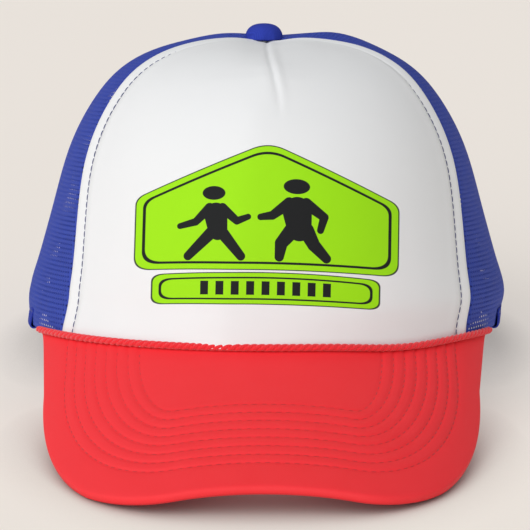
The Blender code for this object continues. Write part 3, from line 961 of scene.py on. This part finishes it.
def seam_tape(name, seam, low_height, depth, node):
    start = rise_at(seam(0.5), low_height)
    end = rise_near_apex(seam(math.pi / 2), TAPE_TOP)

    def rise_up(up):
        return start + (end - start) * eased(0.04 + 0.92 * up)

    def place(across, up):
        rise = rise_up(up)
        angle = seam(rise)
        edge = np.abs(2 * across - 1)
        angle = angle + TAPE_WIDTH * (across - 0.5) / turn_radius(angle, rise)
        crease = 0.00018 * bell(across - 0.5, 0.08) + 0.00010 * edge**6
        return crown_layer(angle, rise, depth + crease), (TAPE_WIDTH * across, TAPE_LENGTH * up)

    tape = laid_grid(name, 16, 110, place)
    thicken(tape, TAPE)
    deliver(tape, blue_twill, [node])
    up = np.linspace(0.01, 0.99, 160)
    inward = -crown_normal(seam(rise_up(up)), rise_up(up))
    for across, row in ((0.16, "a"), (0.84, "b")):
        points = place(np.full(160, across), up)[0] + inward * (TAPE + 0.00005)
        threads = stitch_row(f"{name}_stitches_{row}", points, inward, 0.0032, 0.0026)
        deliver(threads, navy_thread)


under_front = FACE_CLOTH + FOAM + LINING + 2 * LAYER_GAP + TAPE_GAP
under_net = NET + TAPE_GAP
above_hem = HEM_LEG + 0.0006
for side, sign in SIDES:
    for seam_name, seam, low, depth in (
        ("front", front_seam, 0.003, under_front),
        ("side", side_seam, above_hem, under_net),
    ):
        seam_tape(
            f"{seam_name}_seam_twill_{side}",
            lambda rise: sign * seam(rise),
            low,
            depth,
            f"{seam_name}_seam_tape_{side}",
        )
seam_tape(
    "centre_back_twill",
    lambda rise: math.pi + 0 * rise,
    ARCH_HEIGHT + above_hem,
    under_net,
    "centre_back_tape",
)


# ---------------------------------------------------------------- hem bindings
# The net's lower edge and the rear opening are bound with twill tape folded in half over the
# edge and sewn through.
HEM_CLOTH = 0.0005
HEM_OUTSIDE = 0.0006
HEM_INSIDE = 0.0016
HEM_BELOW = 0.0014
HEM_FOLD = 0.30
HEM_SEWN = 0.0044
HEM_MIDDLE = (HEM_OUTSIDE - HEM_INSIDE) / 2
HEM_REACH = (HEM_OUTSIDE + HEM_INSIDE) / 2 + HEM_CLOTH


def hem_frame(edge, share):
    """Foot, outward and into-the-panel directions of a hem along its edge."""
    angle, height = edge(share)
    rise = rise_at(angle, height)
    base, out = crown_point(angle, rise), crown_normal(angle, rise)
    ends = [edge(np.clip(share + step, 0, 1)) for step in (-1e-3, 1e-3)]
    before, after = (crown_point(a, rise_at(a, h)) for a, h in ends)
    return base, out, unit(np.cross(out, unit(after - before)))


def binding(name, edge, columns, node):
    base, _, _ = hem_frame(edge, np.linspace(0, 1, 200))
    length = spread_along(base)[-1]

    def place(across, up):
        base, out, into = hem_frame(edge, across)
        swing = 2 * up - 1
        turn = np.clip(swing / HEM_FOLD, -1, 1) * math.pi / 2
        leg = HEM_LEG * np.maximum(np.abs(swing) - HEM_FOLD, 0) / (1 - HEM_FOLD)
        sag = leg**2 / (2 * HALF_WIDTH)
        pinch = 0.00022 * bell(leg - HEM_SEWN, 0.0007) * (np.abs(swing) > HEM_FOLD)
        below = HEM_BELOW * np.cos(turn)
        spread = HEM_MIDDLE + (HEM_REACH - pinch) * np.sin(turn) - sag
        points = base + into * (leg - below)[:, None] + out * spread[:, None]
        return points, (length * across, 0.016 * up)

    tape = laid_grid(name, columns, 28, place)
    thicken(tape, HEM_CLOTH)
    deliver(tape, blue_twill, [node])
    base, out, into = hem_frame(edge, np.linspace(0.004, 0.996, 400))
    for outward, row in ((1, "outside"), (-1, "inside")):
        spread = outward * (HEM_REACH - 0.00018) + HEM_MIDDLE - HEM_SEWN**2 / (2 * HALF_WIDTH)
        points = base + into * HEM_SEWN + out * spread
        threads = stitch_row(f"{name}_stitches_{row}", points, out * outward, 0.0030, 0.0024)
        deliver(threads, navy_thread)


VISOR_TIP = math.radians(62.0)
hem_corner = math.pi - ARCH_HALF_ANGLE
hem_joint = (HEM_LEG + 4 * LAYER_GAP) / HALF_WIDTH
hem_start = VISOR_TIP + math.radians(11)
hem_span = hem_corner - hem_joint - hem_start
for side, first in (("right", hem_start), ("left", hem_joint - hem_corner)):
    binding(
        f"rim_twill_{side}",
        lambda share: (first + hem_span * share, 0.0 * share),
        150,
        f"rim_binding_{side}",
    )
binding("rear_arch_twill", lambda share: arch_edge(0.012 + 0.976 * share), 260, "rear_arch_binding")


# ---------------------------------------------------------------- sweatband
# A padded band of royal blue cotton twill lines the rim from one side of the rear opening
# round to the other, folded over at both edges and sewn along the rim.
STRAP = 0.0013
STRAP_DEPTH = HEM_INSIDE + HEM_CLOTH + 2 * LAYER_GAP
BAND_DEPTH = STRAP_DEPTH + 2 * STRAP + 4 * LAYER_GAP
BAND_BOTTOM = 0.0012
BAND_TOP = 0.0330
BAND = 0.0010
BAND_RADIUS = 0.093
BAND_END = math.pi - ARCH_HALF_ANGLE - math.radians(1.5)


def band_place(across, up):
    angle = (2 * across - 1) * BAND_END
    height = BAND_BOTTOM + (BAND_TOP - BAND_BOTTOM) * up
    pad = -0.0004 * bell(up - 0.12, 0.03) - 0.0003 * bell(up - 0.9, 0.03)
    ripple = 0.00025 * np.sin(angle * 13 + 2 * up) * (up * (1 - up)) ** 0.5
    depth = BAND_DEPTH + 0.0004 * np.sin(np.pi * up) + pad + ripple
    points = crown_layer(angle, rise_at(angle, height), depth)
    return points, (angle * BAND_RADIUS, height)


band = laid_grid("sweatband_cloth", 260, 26, band_place)
thicken(band, BAND)
band_look = twill_finish("band_twill", (0.018, 0.030, 0.25), (0.038, 0.058, 0.42), 0.7)
deliver(band, band_look, ["sweatband"])
for up, row in ((0.12, "lower"), (0.90, "upper")):
    share = np.linspace(0.003, 0.997, 900)
    points, _ = band_place(share, np.full(900, up))
    angle = (2 * share - 1) * BAND_END
    inward = -crown_normal(angle, rise_at(angle, BAND_BOTTOM + (BAND_TOP - BAND_BOTTOM) * up))
    points = points + inward * (BAND + 0.00005)
    threads = stitch_row(f"sweatband_stitches_{row}", points, inward, 0.0034, 0.0027, 0.00021)
    deliver(threads, navy_thread)


# ---------------------------------------------------------------- button
# A flat metal cap covered in royal blue cloth, drawn in round its foot, is riveted through the
# crown's apex to a plain steel plate inside.
BUTTON_RADIUS = 0.0068
BUTTON_HEIGHT = 0.0058
BUTTON_SUNK = 0.0010
bpy.ops.object.select_all(action="DESELECT")
bpy.ops.mesh.primitive_uv_sphere_add(segments=72, ring_count=40, radius=1.0, calc_uvs=False)
button = bpy.context.object
button.name = button.data.name = "button_cloth"
ball = corners_of(button)
round_angle = np.arctan2(ball[:, 1], ball[:, 0])
from_top = np.arccos(np.clip(ball[:, 2], -1, 1))
upper = np.minimum(from_top, math.pi / 2)
under = np.maximum(from_top - math.pi / 2, 0)
width = BUTTON_RADIUS * np.sin(upper) ** 0.85 * np.cos(under) ** 0.5
folds = np.sin(round_angle * 11 + 0.6 * np.sin(3 * round_angle))
width = width + 0.00010 * folds * bell(from_top - 1.5, 0.4)
level = BUTTON_HEIGHT * np.maximum(np.cos(upper), 0) ** 0.75 - 0.0006 * np.sin(under)
button_foot = np.array((0.0, APEX_SHIFT, CROWN_HEIGHT + LAYER_GAP - BUTTON_SUNK))
dome = np.stack((width * np.cos(round_angle), width * np.sin(round_angle), level), axis=-1)
move_corners(button, to_table(button_foot + dome))
flat_cloth(button, "cloth", dome[:, 0], dome[:, 1])
deliver(button, blue_twill, ["top_button"])

steel = Look("zinc_plated_steel", Metallic=1.0)
scuff = steel.noise(steel.place(), 700.0, 4.0)
steel.surface(
    Base_Color=steel.blend(scuff, (0.50, 0.50, 0.51), (0.68, 0.68, 0.69)),
    Roughness=0.28 + 0.3 * scuff,
    Normal=steel.bump(scuff, 0.00003),
)
rivet = frame["nodes"]["button_rivet"]
rivet.data.materials.clear()
rivet.data.materials.append(steel.material)


# ---------------------------------------------------------------- visor
# A flexible board between two faces of red cotton twill, sewn together along the edge and
# turned, then quilted with eight rows of stitching that follow the edge.
VISOR_SLOPE = math.radians(34.0)
VISOR_LENGTH = 0.072
VISOR_SIDE = 0.0821
# The left half was cut a little wider than the right, and the front edge is drawn in a little.
VISOR_SKEW = 0.0012
FRONT_DRAW = 0.0022
DRAW_REACH = 0.062
# Shares of the half edge at which its straight front and its round corner end.
FLAT_SHARE = 0.2
TURN_END = 0.75
CORNER_CENTRE = (0.030, -0.005)
TIP_DEPTH = 0.003
VISOR_START = 0.0006
VISOR_CLOTH = 0.0007
VISOR_BOARD = 0.0016
ROW_COUNT = 8
# The outermost row lies a margin in from the edge, and the others follow at their pitch.
ROW_FRONT_MARGIN = 0.0147
ROW_SIDE_MARGIN = 0.0107
ROW_FRONT_PITCH = 0.0041
ROW_SIDE_PITCH = 0.0042
ROW_START = 0.0042
QUILT_RISE = 0.00020
QUILT_GROOVE = (-0.00028, 0.0, 0.00042)
SAG_FADE = 0.035
RULING = np.array((0.0, -math.cos(VISOR_SLOPE), -math.sin(VISOR_SLOPE)))
HALF_THICK = (2 * VISOR_CLOTH + VISOR_BOARD + 2 * LAYER_GAP) / 2

section_angles = np.linspace(0.0, math.radians(80), 400)
section_speed = np.hypot(
    HALF_WIDTH * np.cos(section_angles),
    HALF_LENGTH * math.sin(VISOR_SLOPE) * np.sin(section_angles),
)
section_steps = (section_speed[1:] + section_speed[:-1]) / 2 * np.diff(section_angles)
section_lengths = np.concatenate([[0.0], np.cumsum(section_steps)])


def rim_point(angle):
    sideways = HALF_WIDTH * np.sin(angle)
    return np.stack((sideways, -HALF_LENGTH * np.cos(angle), -rim_sag(sideways)), axis=-1)


def section_angle(across):
    return np.sign(across) * np.interp(np.abs(across), section_lengths, section_angles)


def visor_normal(angle):
    flat = 0.0 * angle
    along = np.stack((HALF_WIDTH * np.cos(angle), HALF_LENGTH * np.sin(angle), flat), axis=-1)
    return unit(np.cross(np.broadcast_to(RULING, along.shape), along))


def rim_on_board(across):
    return -HALF_LENGTH * (1 - np.cos(section_angle(across))) * math.cos(VISOR_SLOPE)


def rolled(across, forward, lift):
    """A point of the flat board, rolled to the visor's curve and lifted off its top face."""
    angle = section_angle(across)
    ahead = np.asarray(forward - rim_on_board(across))[..., None]
    lift = np.asarray(lift)[..., None]
    level = rim_sag(HALF_WIDTH * np.sin(angle))[..., None] * ramp(ahead, 0, SAG_FADE)
    points = rim_point(angle) + RULING * ahead + visor_normal(angle) * lift
    return points + level * np.array((0.0, 0.0, 1.0))


TIP_ACROSS = float(np.interp(VISOR_TIP, section_angles, section_lengths))


def side_of(swing):
    return VISOR_SIDE - VISOR_SKEW * np.sign(swing)


def board_outline(swing):
    """The board's edge: swing is 0 at the middle of the front and 1 at the right tip."""
    share = np.abs(swing)
    side = side_of(swing)
    turn = ramp(share, FLAT_SHARE, TURN_END - FLAT_SHARE) * math.pi / 2
    back = ramp(share, TURN_END, 1 - TURN_END)
    across = CORNER_CENTRE[0] * ramp(share, 0, FLAT_SHARE)
    across = across + (side - CORNER_CENTRE[0]) * np.sin(turn) + (TIP_ACROSS - side) * back
    forward = CORNER_CENTRE[1] + (VISOR_LENGTH - CORNER_CENTRE[1]) * np.cos(turn)
    draw = FRONT_DRAW * np.clip(1 - (across / DRAW_REACH) ** 4, 0, 1)
    forward = forward - draw * (share < TURN_END)
    tip_forward = rim_on_board(TIP_ACROSS) + TIP_DEPTH
    return across, forward + (tip_forward - CORNER_CENTRE[1]) * back


def on_board(swing, up):
    """A place on the flat board, from its seam (up 0) to its edge (1), and how far off the edge."""
    edge_across, edge_forward = board_outline(swing)
    seam_across = TIP_ACROSS * np.abs(swing) ** 0.9
    seam_forward = rim_on_board(seam_across) + VISOR_START
    across = seam_across + (edge_across - seam_across) * up
    forward = seam_forward + (edge_forward - seam_forward) * up
    return across, forward, np.hypot(edge_across - across, edge_forward - forward)


def row_reach(swing, row):
    """How far a stitch row goes to the side and forwards, counted in from the outermost."""
    side = side_of(swing) - ROW_SIDE_MARGIN - row * ROW_SIDE_PITCH
    return side, VISOR_LENGTH - ROW_FRONT_MARGIN - row * ROW_FRONT_PITCH


def rows_in(across, forward):
    """How many stitch rows in from the outermost a point of the board lies."""
    low, high = np.full(across.shape, -6.0), np.full(across.shape, 12.0)
    for _ in range(22):
        row = (low + high) / 2
        side, front = row_reach(across, row)
        right, ahead = side - CORNER_CENTRE[0], front - CORNER_CENTRE[1]
        x = np.maximum(np.abs(across) - CORNER_CENTRE[0], 0) / np.maximum(right, 1e-4)
        y = np.maximum(forward - CORNER_CENTRE[1], 0) / np.maximum(ahead, 1e-4)
        inside = (x * x + y * y < 1) & (right > 0) & (ahead > 0)
        low = np.where(inside, row, low)
        high = np.where(inside, high, row)
    return low


def quilting(across, forward):
    """Relief of the stitched rows: a narrow groove at each, soft ridges between them."""
    row = rows_in(across, forward)
    nearest = np.clip(np.round(row), 0, ROW_COUNT - 1)
    off = (row - nearest) * ROW_FRONT_PITCH
    inner = np.clip(row, 0, ROW_COUNT - 1)
    ridge = np.abs(np.sin(np.pi * inner)) ** 0.8
    outer = 0.9 * (1 - bell(np.minimum(row, 0) * ROW_FRONT_PITCH, 0.0022))
    return QUILT_RISE * np.maximum(ridge, outer) + swells(off, QUILT_GROOVE)


def visor_face(upper):
    def place(across, up):
        swing = 1 - 2 * across if upper else 2 * across - 1
        flat_across, flat_forward, to_edge = on_board(swing, 1 - (1 - up) ** 1.3)
        wrap = 1 - np.clip(to_edge / HALF_THICK, 0, 1)
        drop = HALF_THICK * (1 - np.sqrt(np.maximum(1 - wrap**2, 0)))
        flat_across = np.copysign(flat_across, swing)
        relief = quilting(flat_across, flat_forward) * ramp(to_edge, 0, 0.003)
        seam_pull = 0.00012 * bell(to_edge, 0.0006)
        lift = relief - drop - seam_pull
        if not upper:
            lift = -2 * HALF_THICK - 0.6 * relief + drop + seam_pull
        return rolled(flat_across, flat_forward, lift), (flat_across, flat_forward)

    return place


def board_face(across, up):
    """The stiffening board's top, a little inside the seam of the two covers."""
    swing = 1 - 2 * across
    flat_across, flat_forward, _ = on_board(swing, 0.03 + 0.94 * up)
    flat_across = np.copysign(flat_across * 0.985, swing)
    lift = np.full(across.shape, -VISOR_CLOTH - LAYER_GAP)
    return rolled(flat_across, flat_forward, lift), (flat_across, flat_forward)


red_cotton = Look("red_cotton", Specular_IOR_Level=0.3)
cotton_across, cotton_along = red_cotton.cloth()
weave = twill_weave(cotton_across, cotton_along, 0.46)
tone = red_cotton.noise(red_cotton.place(), 90.0, 3.0)
fibre = red_cotton.noise(red_cotton.place(), 2400.0)
mixed = weave * 0.5 + tone * 0.3 + fibre * 0.2
red_cotton.surface(
    Base_Color=red_cotton.blend(mixed, (0.85, 0.020, 0.027), (0.97, 0.040, 0.052)),
    Roughness=0.50 + 0.12 * fibre,
    Normal=red_cotton.bump(weave + 0.5 * fibre, 0.00006),
)
for face, columns, rows in (("top", 270, 136), ("under", 240, 120)):
    cover = laid_grid(f"visor_{face}_cloth", columns, rows, visor_face(face == "top"))
    thicken(cover, VISOR_CLOTH)
    deliver(cover, red_cotton, [f"visor_{face}_cover"], sharp=60)
board = laid_grid("visor_stiffener", 120, 40, board_face)
thicken(board, VISOR_BOARD)
board_plastic = Look("board_plastic", Roughness=0.5)
grain = board_plastic.noise(board_plastic.place(), 500.0)
board_plastic.surface(
    Base_Color=board_plastic.blend(grain, (0.80, 0.80, 0.78), (0.90, 0.90, 0.88)),
    Normal=board_plastic.bump(grain, 0.00005),
)
deliver(board, board_plastic, ["visor_board"])


# ---------------------------------------------------------------- visor stitching
# Eight rows of darker red thread are sewn through both faces and the board, so every row
# shows on top and, more loosely, underneath.
red_thread = thread_finish("red_thread", (0.42, 0.006, 0.010), (0.62, 0.010, 0.016))


def half_row(index, swing):
    """One stitch row on the flat board, from its end at the rim to the middle."""
    side, front = row_reach(swing, index)
    start = rim_on_board(side) + ROW_START
    turn = np.linspace(0, math.pi / 2, 120)
    across = CORNER_CENTRE[0] + (side - CORNER_CENTRE[0]) * np.cos(turn)
    forward = CORNER_CENTRE[1] + (front - CORNER_CENTRE[1]) * np.sin(turn)
    if start < CORNER_CENTRE[1]:
        across = np.concatenate([np.full(19, side), across])
        forward = np.concatenate([np.linspace(start, CORNER_CENTRE[1], 20)[:-1], forward])
    across, forward = across[forward > start - 1e-9], forward[forward > start - 1e-9]
    flat = np.linspace(CORNER_CENTRE[0], 0, 16)[1:]
    across = np.concatenate([across, flat])
    return np.stack([swing * across, np.concatenate([forward, np.full(15, front)])])


def visor_row(index):
    """The line of one whole stitch row, from its right end to its left end."""
    return np.concatenate([half_row(index, 1), half_row(index, -1)[:, -2::-1]], axis=1)


for index in range(ROW_COUNT):
    across, forward = visor_row(index)
    relief = quilting(across, forward)
    top_line = rolled(across, forward, relief + 0.00003)
    under_line = rolled(across, forward, -2 * HALF_THICK - 0.6 * relief - 0.00003)
    outward = visor_normal(section_angle(across))
    for face, line, facing in (("top", top_line, 1), ("under", under_line, -1)):
        name = f"visor_row_{index + 1}_{face}"
        threads = stitch_row(name, line, outward * facing, 0.0031, 0.0027, 0.00019)
        nodes = [f"visor_stitch_row_{index + 1}"] if face == "top" else []
        deliver(threads, red_thread, nodes)


# ---------------------------------------------------------------- rope
# A soft cord of three twisted red strands lies in the corner between the crown and the visor,
# sewn down along its length, its two ends tapered and tucked in.
BRAID_RADIUS = 0.0012
BRAID_END = math.radians(63.0)
BRAID_LAY = 0.0078
STRAND_RADIUS = 0.00082
STRAND_OFF = 0.00046
ROPE_TAPER = 0.0030


rope_angle = np.linspace(-BRAID_END, BRAID_END, 900)
rope_wall = crown_normal(rope_angle, rise_at(rope_angle, 0.001))
rope_up = rope_wall + visor_normal(rope_angle)
rope_push = 2 * (BRAID_RADIUS + LAYER_GAP) / np.sum(rope_up**2, axis=-1)
rope_points = rim_point(rope_angle) + rope_up * rope_push[:, None]
rope_distance = spread_along(rope_points)


def weld(obj, threshold):
    """Closes the seams where a bent grid meets itself."""
    edit(obj)
    bpy.ops.mesh.remove_doubles(threshold=threshold)
    bpy.ops.mesh.normals_make_consistent(inside=False)
    bpy.ops.object.mode_set(mode="OBJECT")


def rope_strand(phase):
    def place(across, up):
        distance = across * rope_distance[-1]
        middle = at_distance(rope_points, rope_distance, distance)
        lift = unit(at_distance(rope_up, rope_distance, distance))
        before, after = (
            at_distance(rope_points, rope_distance, distance + step) for step in (-2e-4, 2e-4)
        )
        ahead = unit(after - before)
        side = np.cross(ahead, lift)
        to_end = np.minimum(distance, rope_distance[-1] - distance) / ROPE_TAPER
        taper = np.sqrt(np.clip(1 - (1 - np.clip(to_end, 0, 1)) ** 2, 0, 1))
        turn = phase - distance / BRAID_LAY * 2 * math.pi
        core = lift * np.cos(turn)[:, None] + side * np.sin(turn)[:, None]
        around = up * 2 * math.pi
        skin = lift * np.cos(around)[:, None] + side * np.sin(around)[:, None]
        radius = STRAND_RADIUS * taper
        points = middle + core * (STRAND_OFF * taper)[:, None] + skin * radius[:, None]
        return points, (distance, around * STRAND_RADIUS)

    return place


strands = [
    laid_grid(f"rope_strand_{turn}", 620, 9, rope_strand(turn * 2 * math.pi / 3))
    for turn in range(3)
]
rope = strands[0]
joined(rope, strands[1:])
rope.name = rope.data.name = "visor_rope"
weld(rope, 2e-6)
rope_look = Look("red_rope", Roughness=0.75, Sheen_Weight=0.35, Specular_IOR_Level=0.25)
rope_along, rope_around = rope_look.cloth()
yarn = abs((rope_along * 3.4 + rope_around * 2.6).sine())
fuzz = rope_look.noise(rope_look.place(), 1800.0)
mixed = yarn * 0.6 + fuzz * 0.4
rope_look.surface(
    Base_Color=rope_look.blend(mixed, (0.72, 0.012, 0.020), (0.92, 0.022, 0.034)),
    Normal=rope_look.bump(yarn + 0.4 * fuzz, 0.00010),
)
deliver(rope, rope_look, ["visor_braid"], sharp=80)


# ---------------------------------------------------------------- closure straps
# Two straps of moulded royal blue polyethylene close the rear opening: seven pegs on the right
# one snap into seven holes on the left one, which lies outside. Each is sewn in at its root;
# where it would bend is worked out, but both are left lying along the crown.
STRAP_BOTTOM = 0.0024
STRAP_TOP = 0.0184
STRAP_MIDDLE = (STRAP_TOP + STRAP_BOTTOM) / 2
STRAP_BEND_GAP = 0.0016
TAB_LENGTH = 0.014
SNAP_PITCH = 0.0095
SNAP_COUNT = 7
SNAPS_CLOSED = 5
BEND_ARC = 0.0455
SNAP_OVERLAP = SNAP_PITCH * (SNAPS_CLOSED - 1) / 2
FREE_END = SNAP_OVERLAP + 0.006
BEND_SPREAD = 0.004
HOLE_RADIUS = 0.0026
ARC_ANGLE = 1 / math.hypot(HALF_WIDTH * math.cos(ARCH_HALF_ANGLE / 2), HALF_LENGTH * 0.27)
RIM_WIDTH = 0.0011
RIM_HEIGHT = 0.00022


def on_strap(sign, depth, arc, height):
    angle = math.pi - sign * arc * ARC_ANGLE
    return crown_layer(angle, rise_at(angle, height), depth)


def strap_blank(name, sign, depth):
    """A strap from its sewn tab to its rounded free end, its border a little thicker."""
    root = BEND_ARC + STRAP_BEND_GAP / 2 + TAB_LENGTH
    length = root + FREE_END
    half = (STRAP_TOP - STRAP_BOTTOM) / 2

    def place(across, up):
        across = across if sign > 0 else 1 - across
        arc = root - length * across
        to_end = arc + FREE_END
        blunt = np.clip(1 - to_end / half, 0, 1)
        reach = half * np.sqrt(np.maximum(1 - blunt**2.4, 0.0004))
        height = STRAP_MIDDLE + (2 * up - 1) * reach
        to_side = reach * (1 - np.abs(2 * up - 1))
        inland = np.minimum(to_side, to_end)
        border = RIM_HEIGHT * np.clip((RIM_WIDTH - inland) / 0.0004 + 0.5, 0, 1)
        border = border * np.clip(inland / 0.0003, 0.3, 1)
        points = on_strap(sign, depth - border, arc, height)
        return points, (arc, height)

    blank = laid_grid(name, 190, 34, place)
    thicken(blank, STRAP)
    return blank


def snap_frame(sign, depth, arc):
    """Foot, outward, along and across directions of a snap on a strap."""
    foot = on_strap(sign, depth, arc, STRAP_MIDDLE)
    angle = math.pi - sign * arc * ARC_ANGLE
    out = crown_normal(angle, rise_at(angle, STRAP_MIDDLE))
    before, after = (
        on_strap(sign, depth, arc + step, STRAP_MIDDLE) for step in (1e-4, -1e-4)
    )
    ahead = unit(after - before)
    return foot, out, ahead, np.cross(out, ahead)


def turned_piece(name, outline, frame_of_piece, sides=36):
    """A turned shape from (radius, height) pairs, standing on a strap."""
    foot, out, ahead, side = frame_of_piece
    obj, across, up = unit_grid(name, sides, len(outline) - 1)
    turn = across * 2 * math.pi
    radius, height = np.array(outline)[np.rint(up * (len(outline) - 1)).astype(int)].T
    points = (
        foot
        + out * height[:, None]
        + ahead * (radius * np.cos(turn))[:, None]
        + side * (radius * np.sin(turn))[:, None]
    )
    move_corners(obj, to_table(points))
    weld(obj, 1e-6)
    return obj


snap_arcs = [SNAP_PITCH * index - SNAP_OVERLAP for index in range(SNAP_COUNT)]
strap_look = Look("royal_strap_plastic", Specular_IOR_Level=0.45)
haze = strap_look.noise(strap_look.place(), 350.0)
strap_look.surface(
    Base_Color=strap_look.blend(haze, (0.020, 0.034, 0.26), (0.028, 0.045, 0.33)),
    Roughness=0.34 + 0.14 * haze,
    Normal=strap_look.bump(haze, 0.00002),
)

hole_blank = strap_blank("strap_with_holes", -1, STRAP_DEPTH)
rings = []
for arc in snap_arcs:
    cutter = turned_piece(
        "cutter",
        [(0.0, -0.006), (HOLE_RADIUS, -0.006), (HOLE_RADIUS, 0.004), (0.0, 0.004)],
        snap_frame(-1, STRAP_DEPTH, arc),
    )
    cut = hole_blank.modifiers.new("hole", "BOOLEAN")
    cut.operation = "DIFFERENCE"
    cut.solver = "EXACT"
    cut.object = cutter
    apply_modifiers(hole_blank)
    bpy.data.objects.remove(cutter)
    bead = [
        (HOLE_RADIUS + 0.00055 + 0.0005 * math.cos(turn), 0.0005 * math.sin(turn) * 0.7)
        for turn in np.linspace(0, 2 * math.pi, 11)
    ]
    rings.append(turned_piece("ring", bead, snap_frame(-1, STRAP_DEPTH, arc)))
joined(hole_blank, rings)

peg_depth = STRAP_DEPTH + STRAP + LAYER_GAP
peg_blank = strap_blank("strap_with_pegs", 1, peg_depth)
PEG_OUTLINE = [
    (0.0, -0.0006),
    (0.0020, -0.0006),
    (0.0020, 0.0002),
    (0.0018, 0.0006),
    (0.0018, 0.0012),
    (0.0022, 0.0016),
    (0.0021, 0.0019),
    (0.0015, 0.00215),
    (0.0007, 0.00225),
    (0.0, 0.00225),
]
pegs = [turned_piece("peg", PEG_OUTLINE, snap_frame(1, peg_depth, arc)) for arc in snap_arcs]
joined(peg_blank, pegs)

for strap, sign, depth, body, nodes in (
    (hole_blank, -1, STRAP_DEPTH, "hole_strap", ("strap_tab_left", "hole_strap")),
    (peg_blank, 1, peg_depth, "peg_strap", ("strap_tab_right", "peg_strap")),
):
    deliver(strap, strap_look, nodes, body=None, sharp=40)
    start, end = (
        to_table(on_strap(sign, depth, BEND_ARC + off, STRAP_MIDDLE))
        for off in (BEND_SPREAD, -BEND_SPREAD)
    )
    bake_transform(strap)
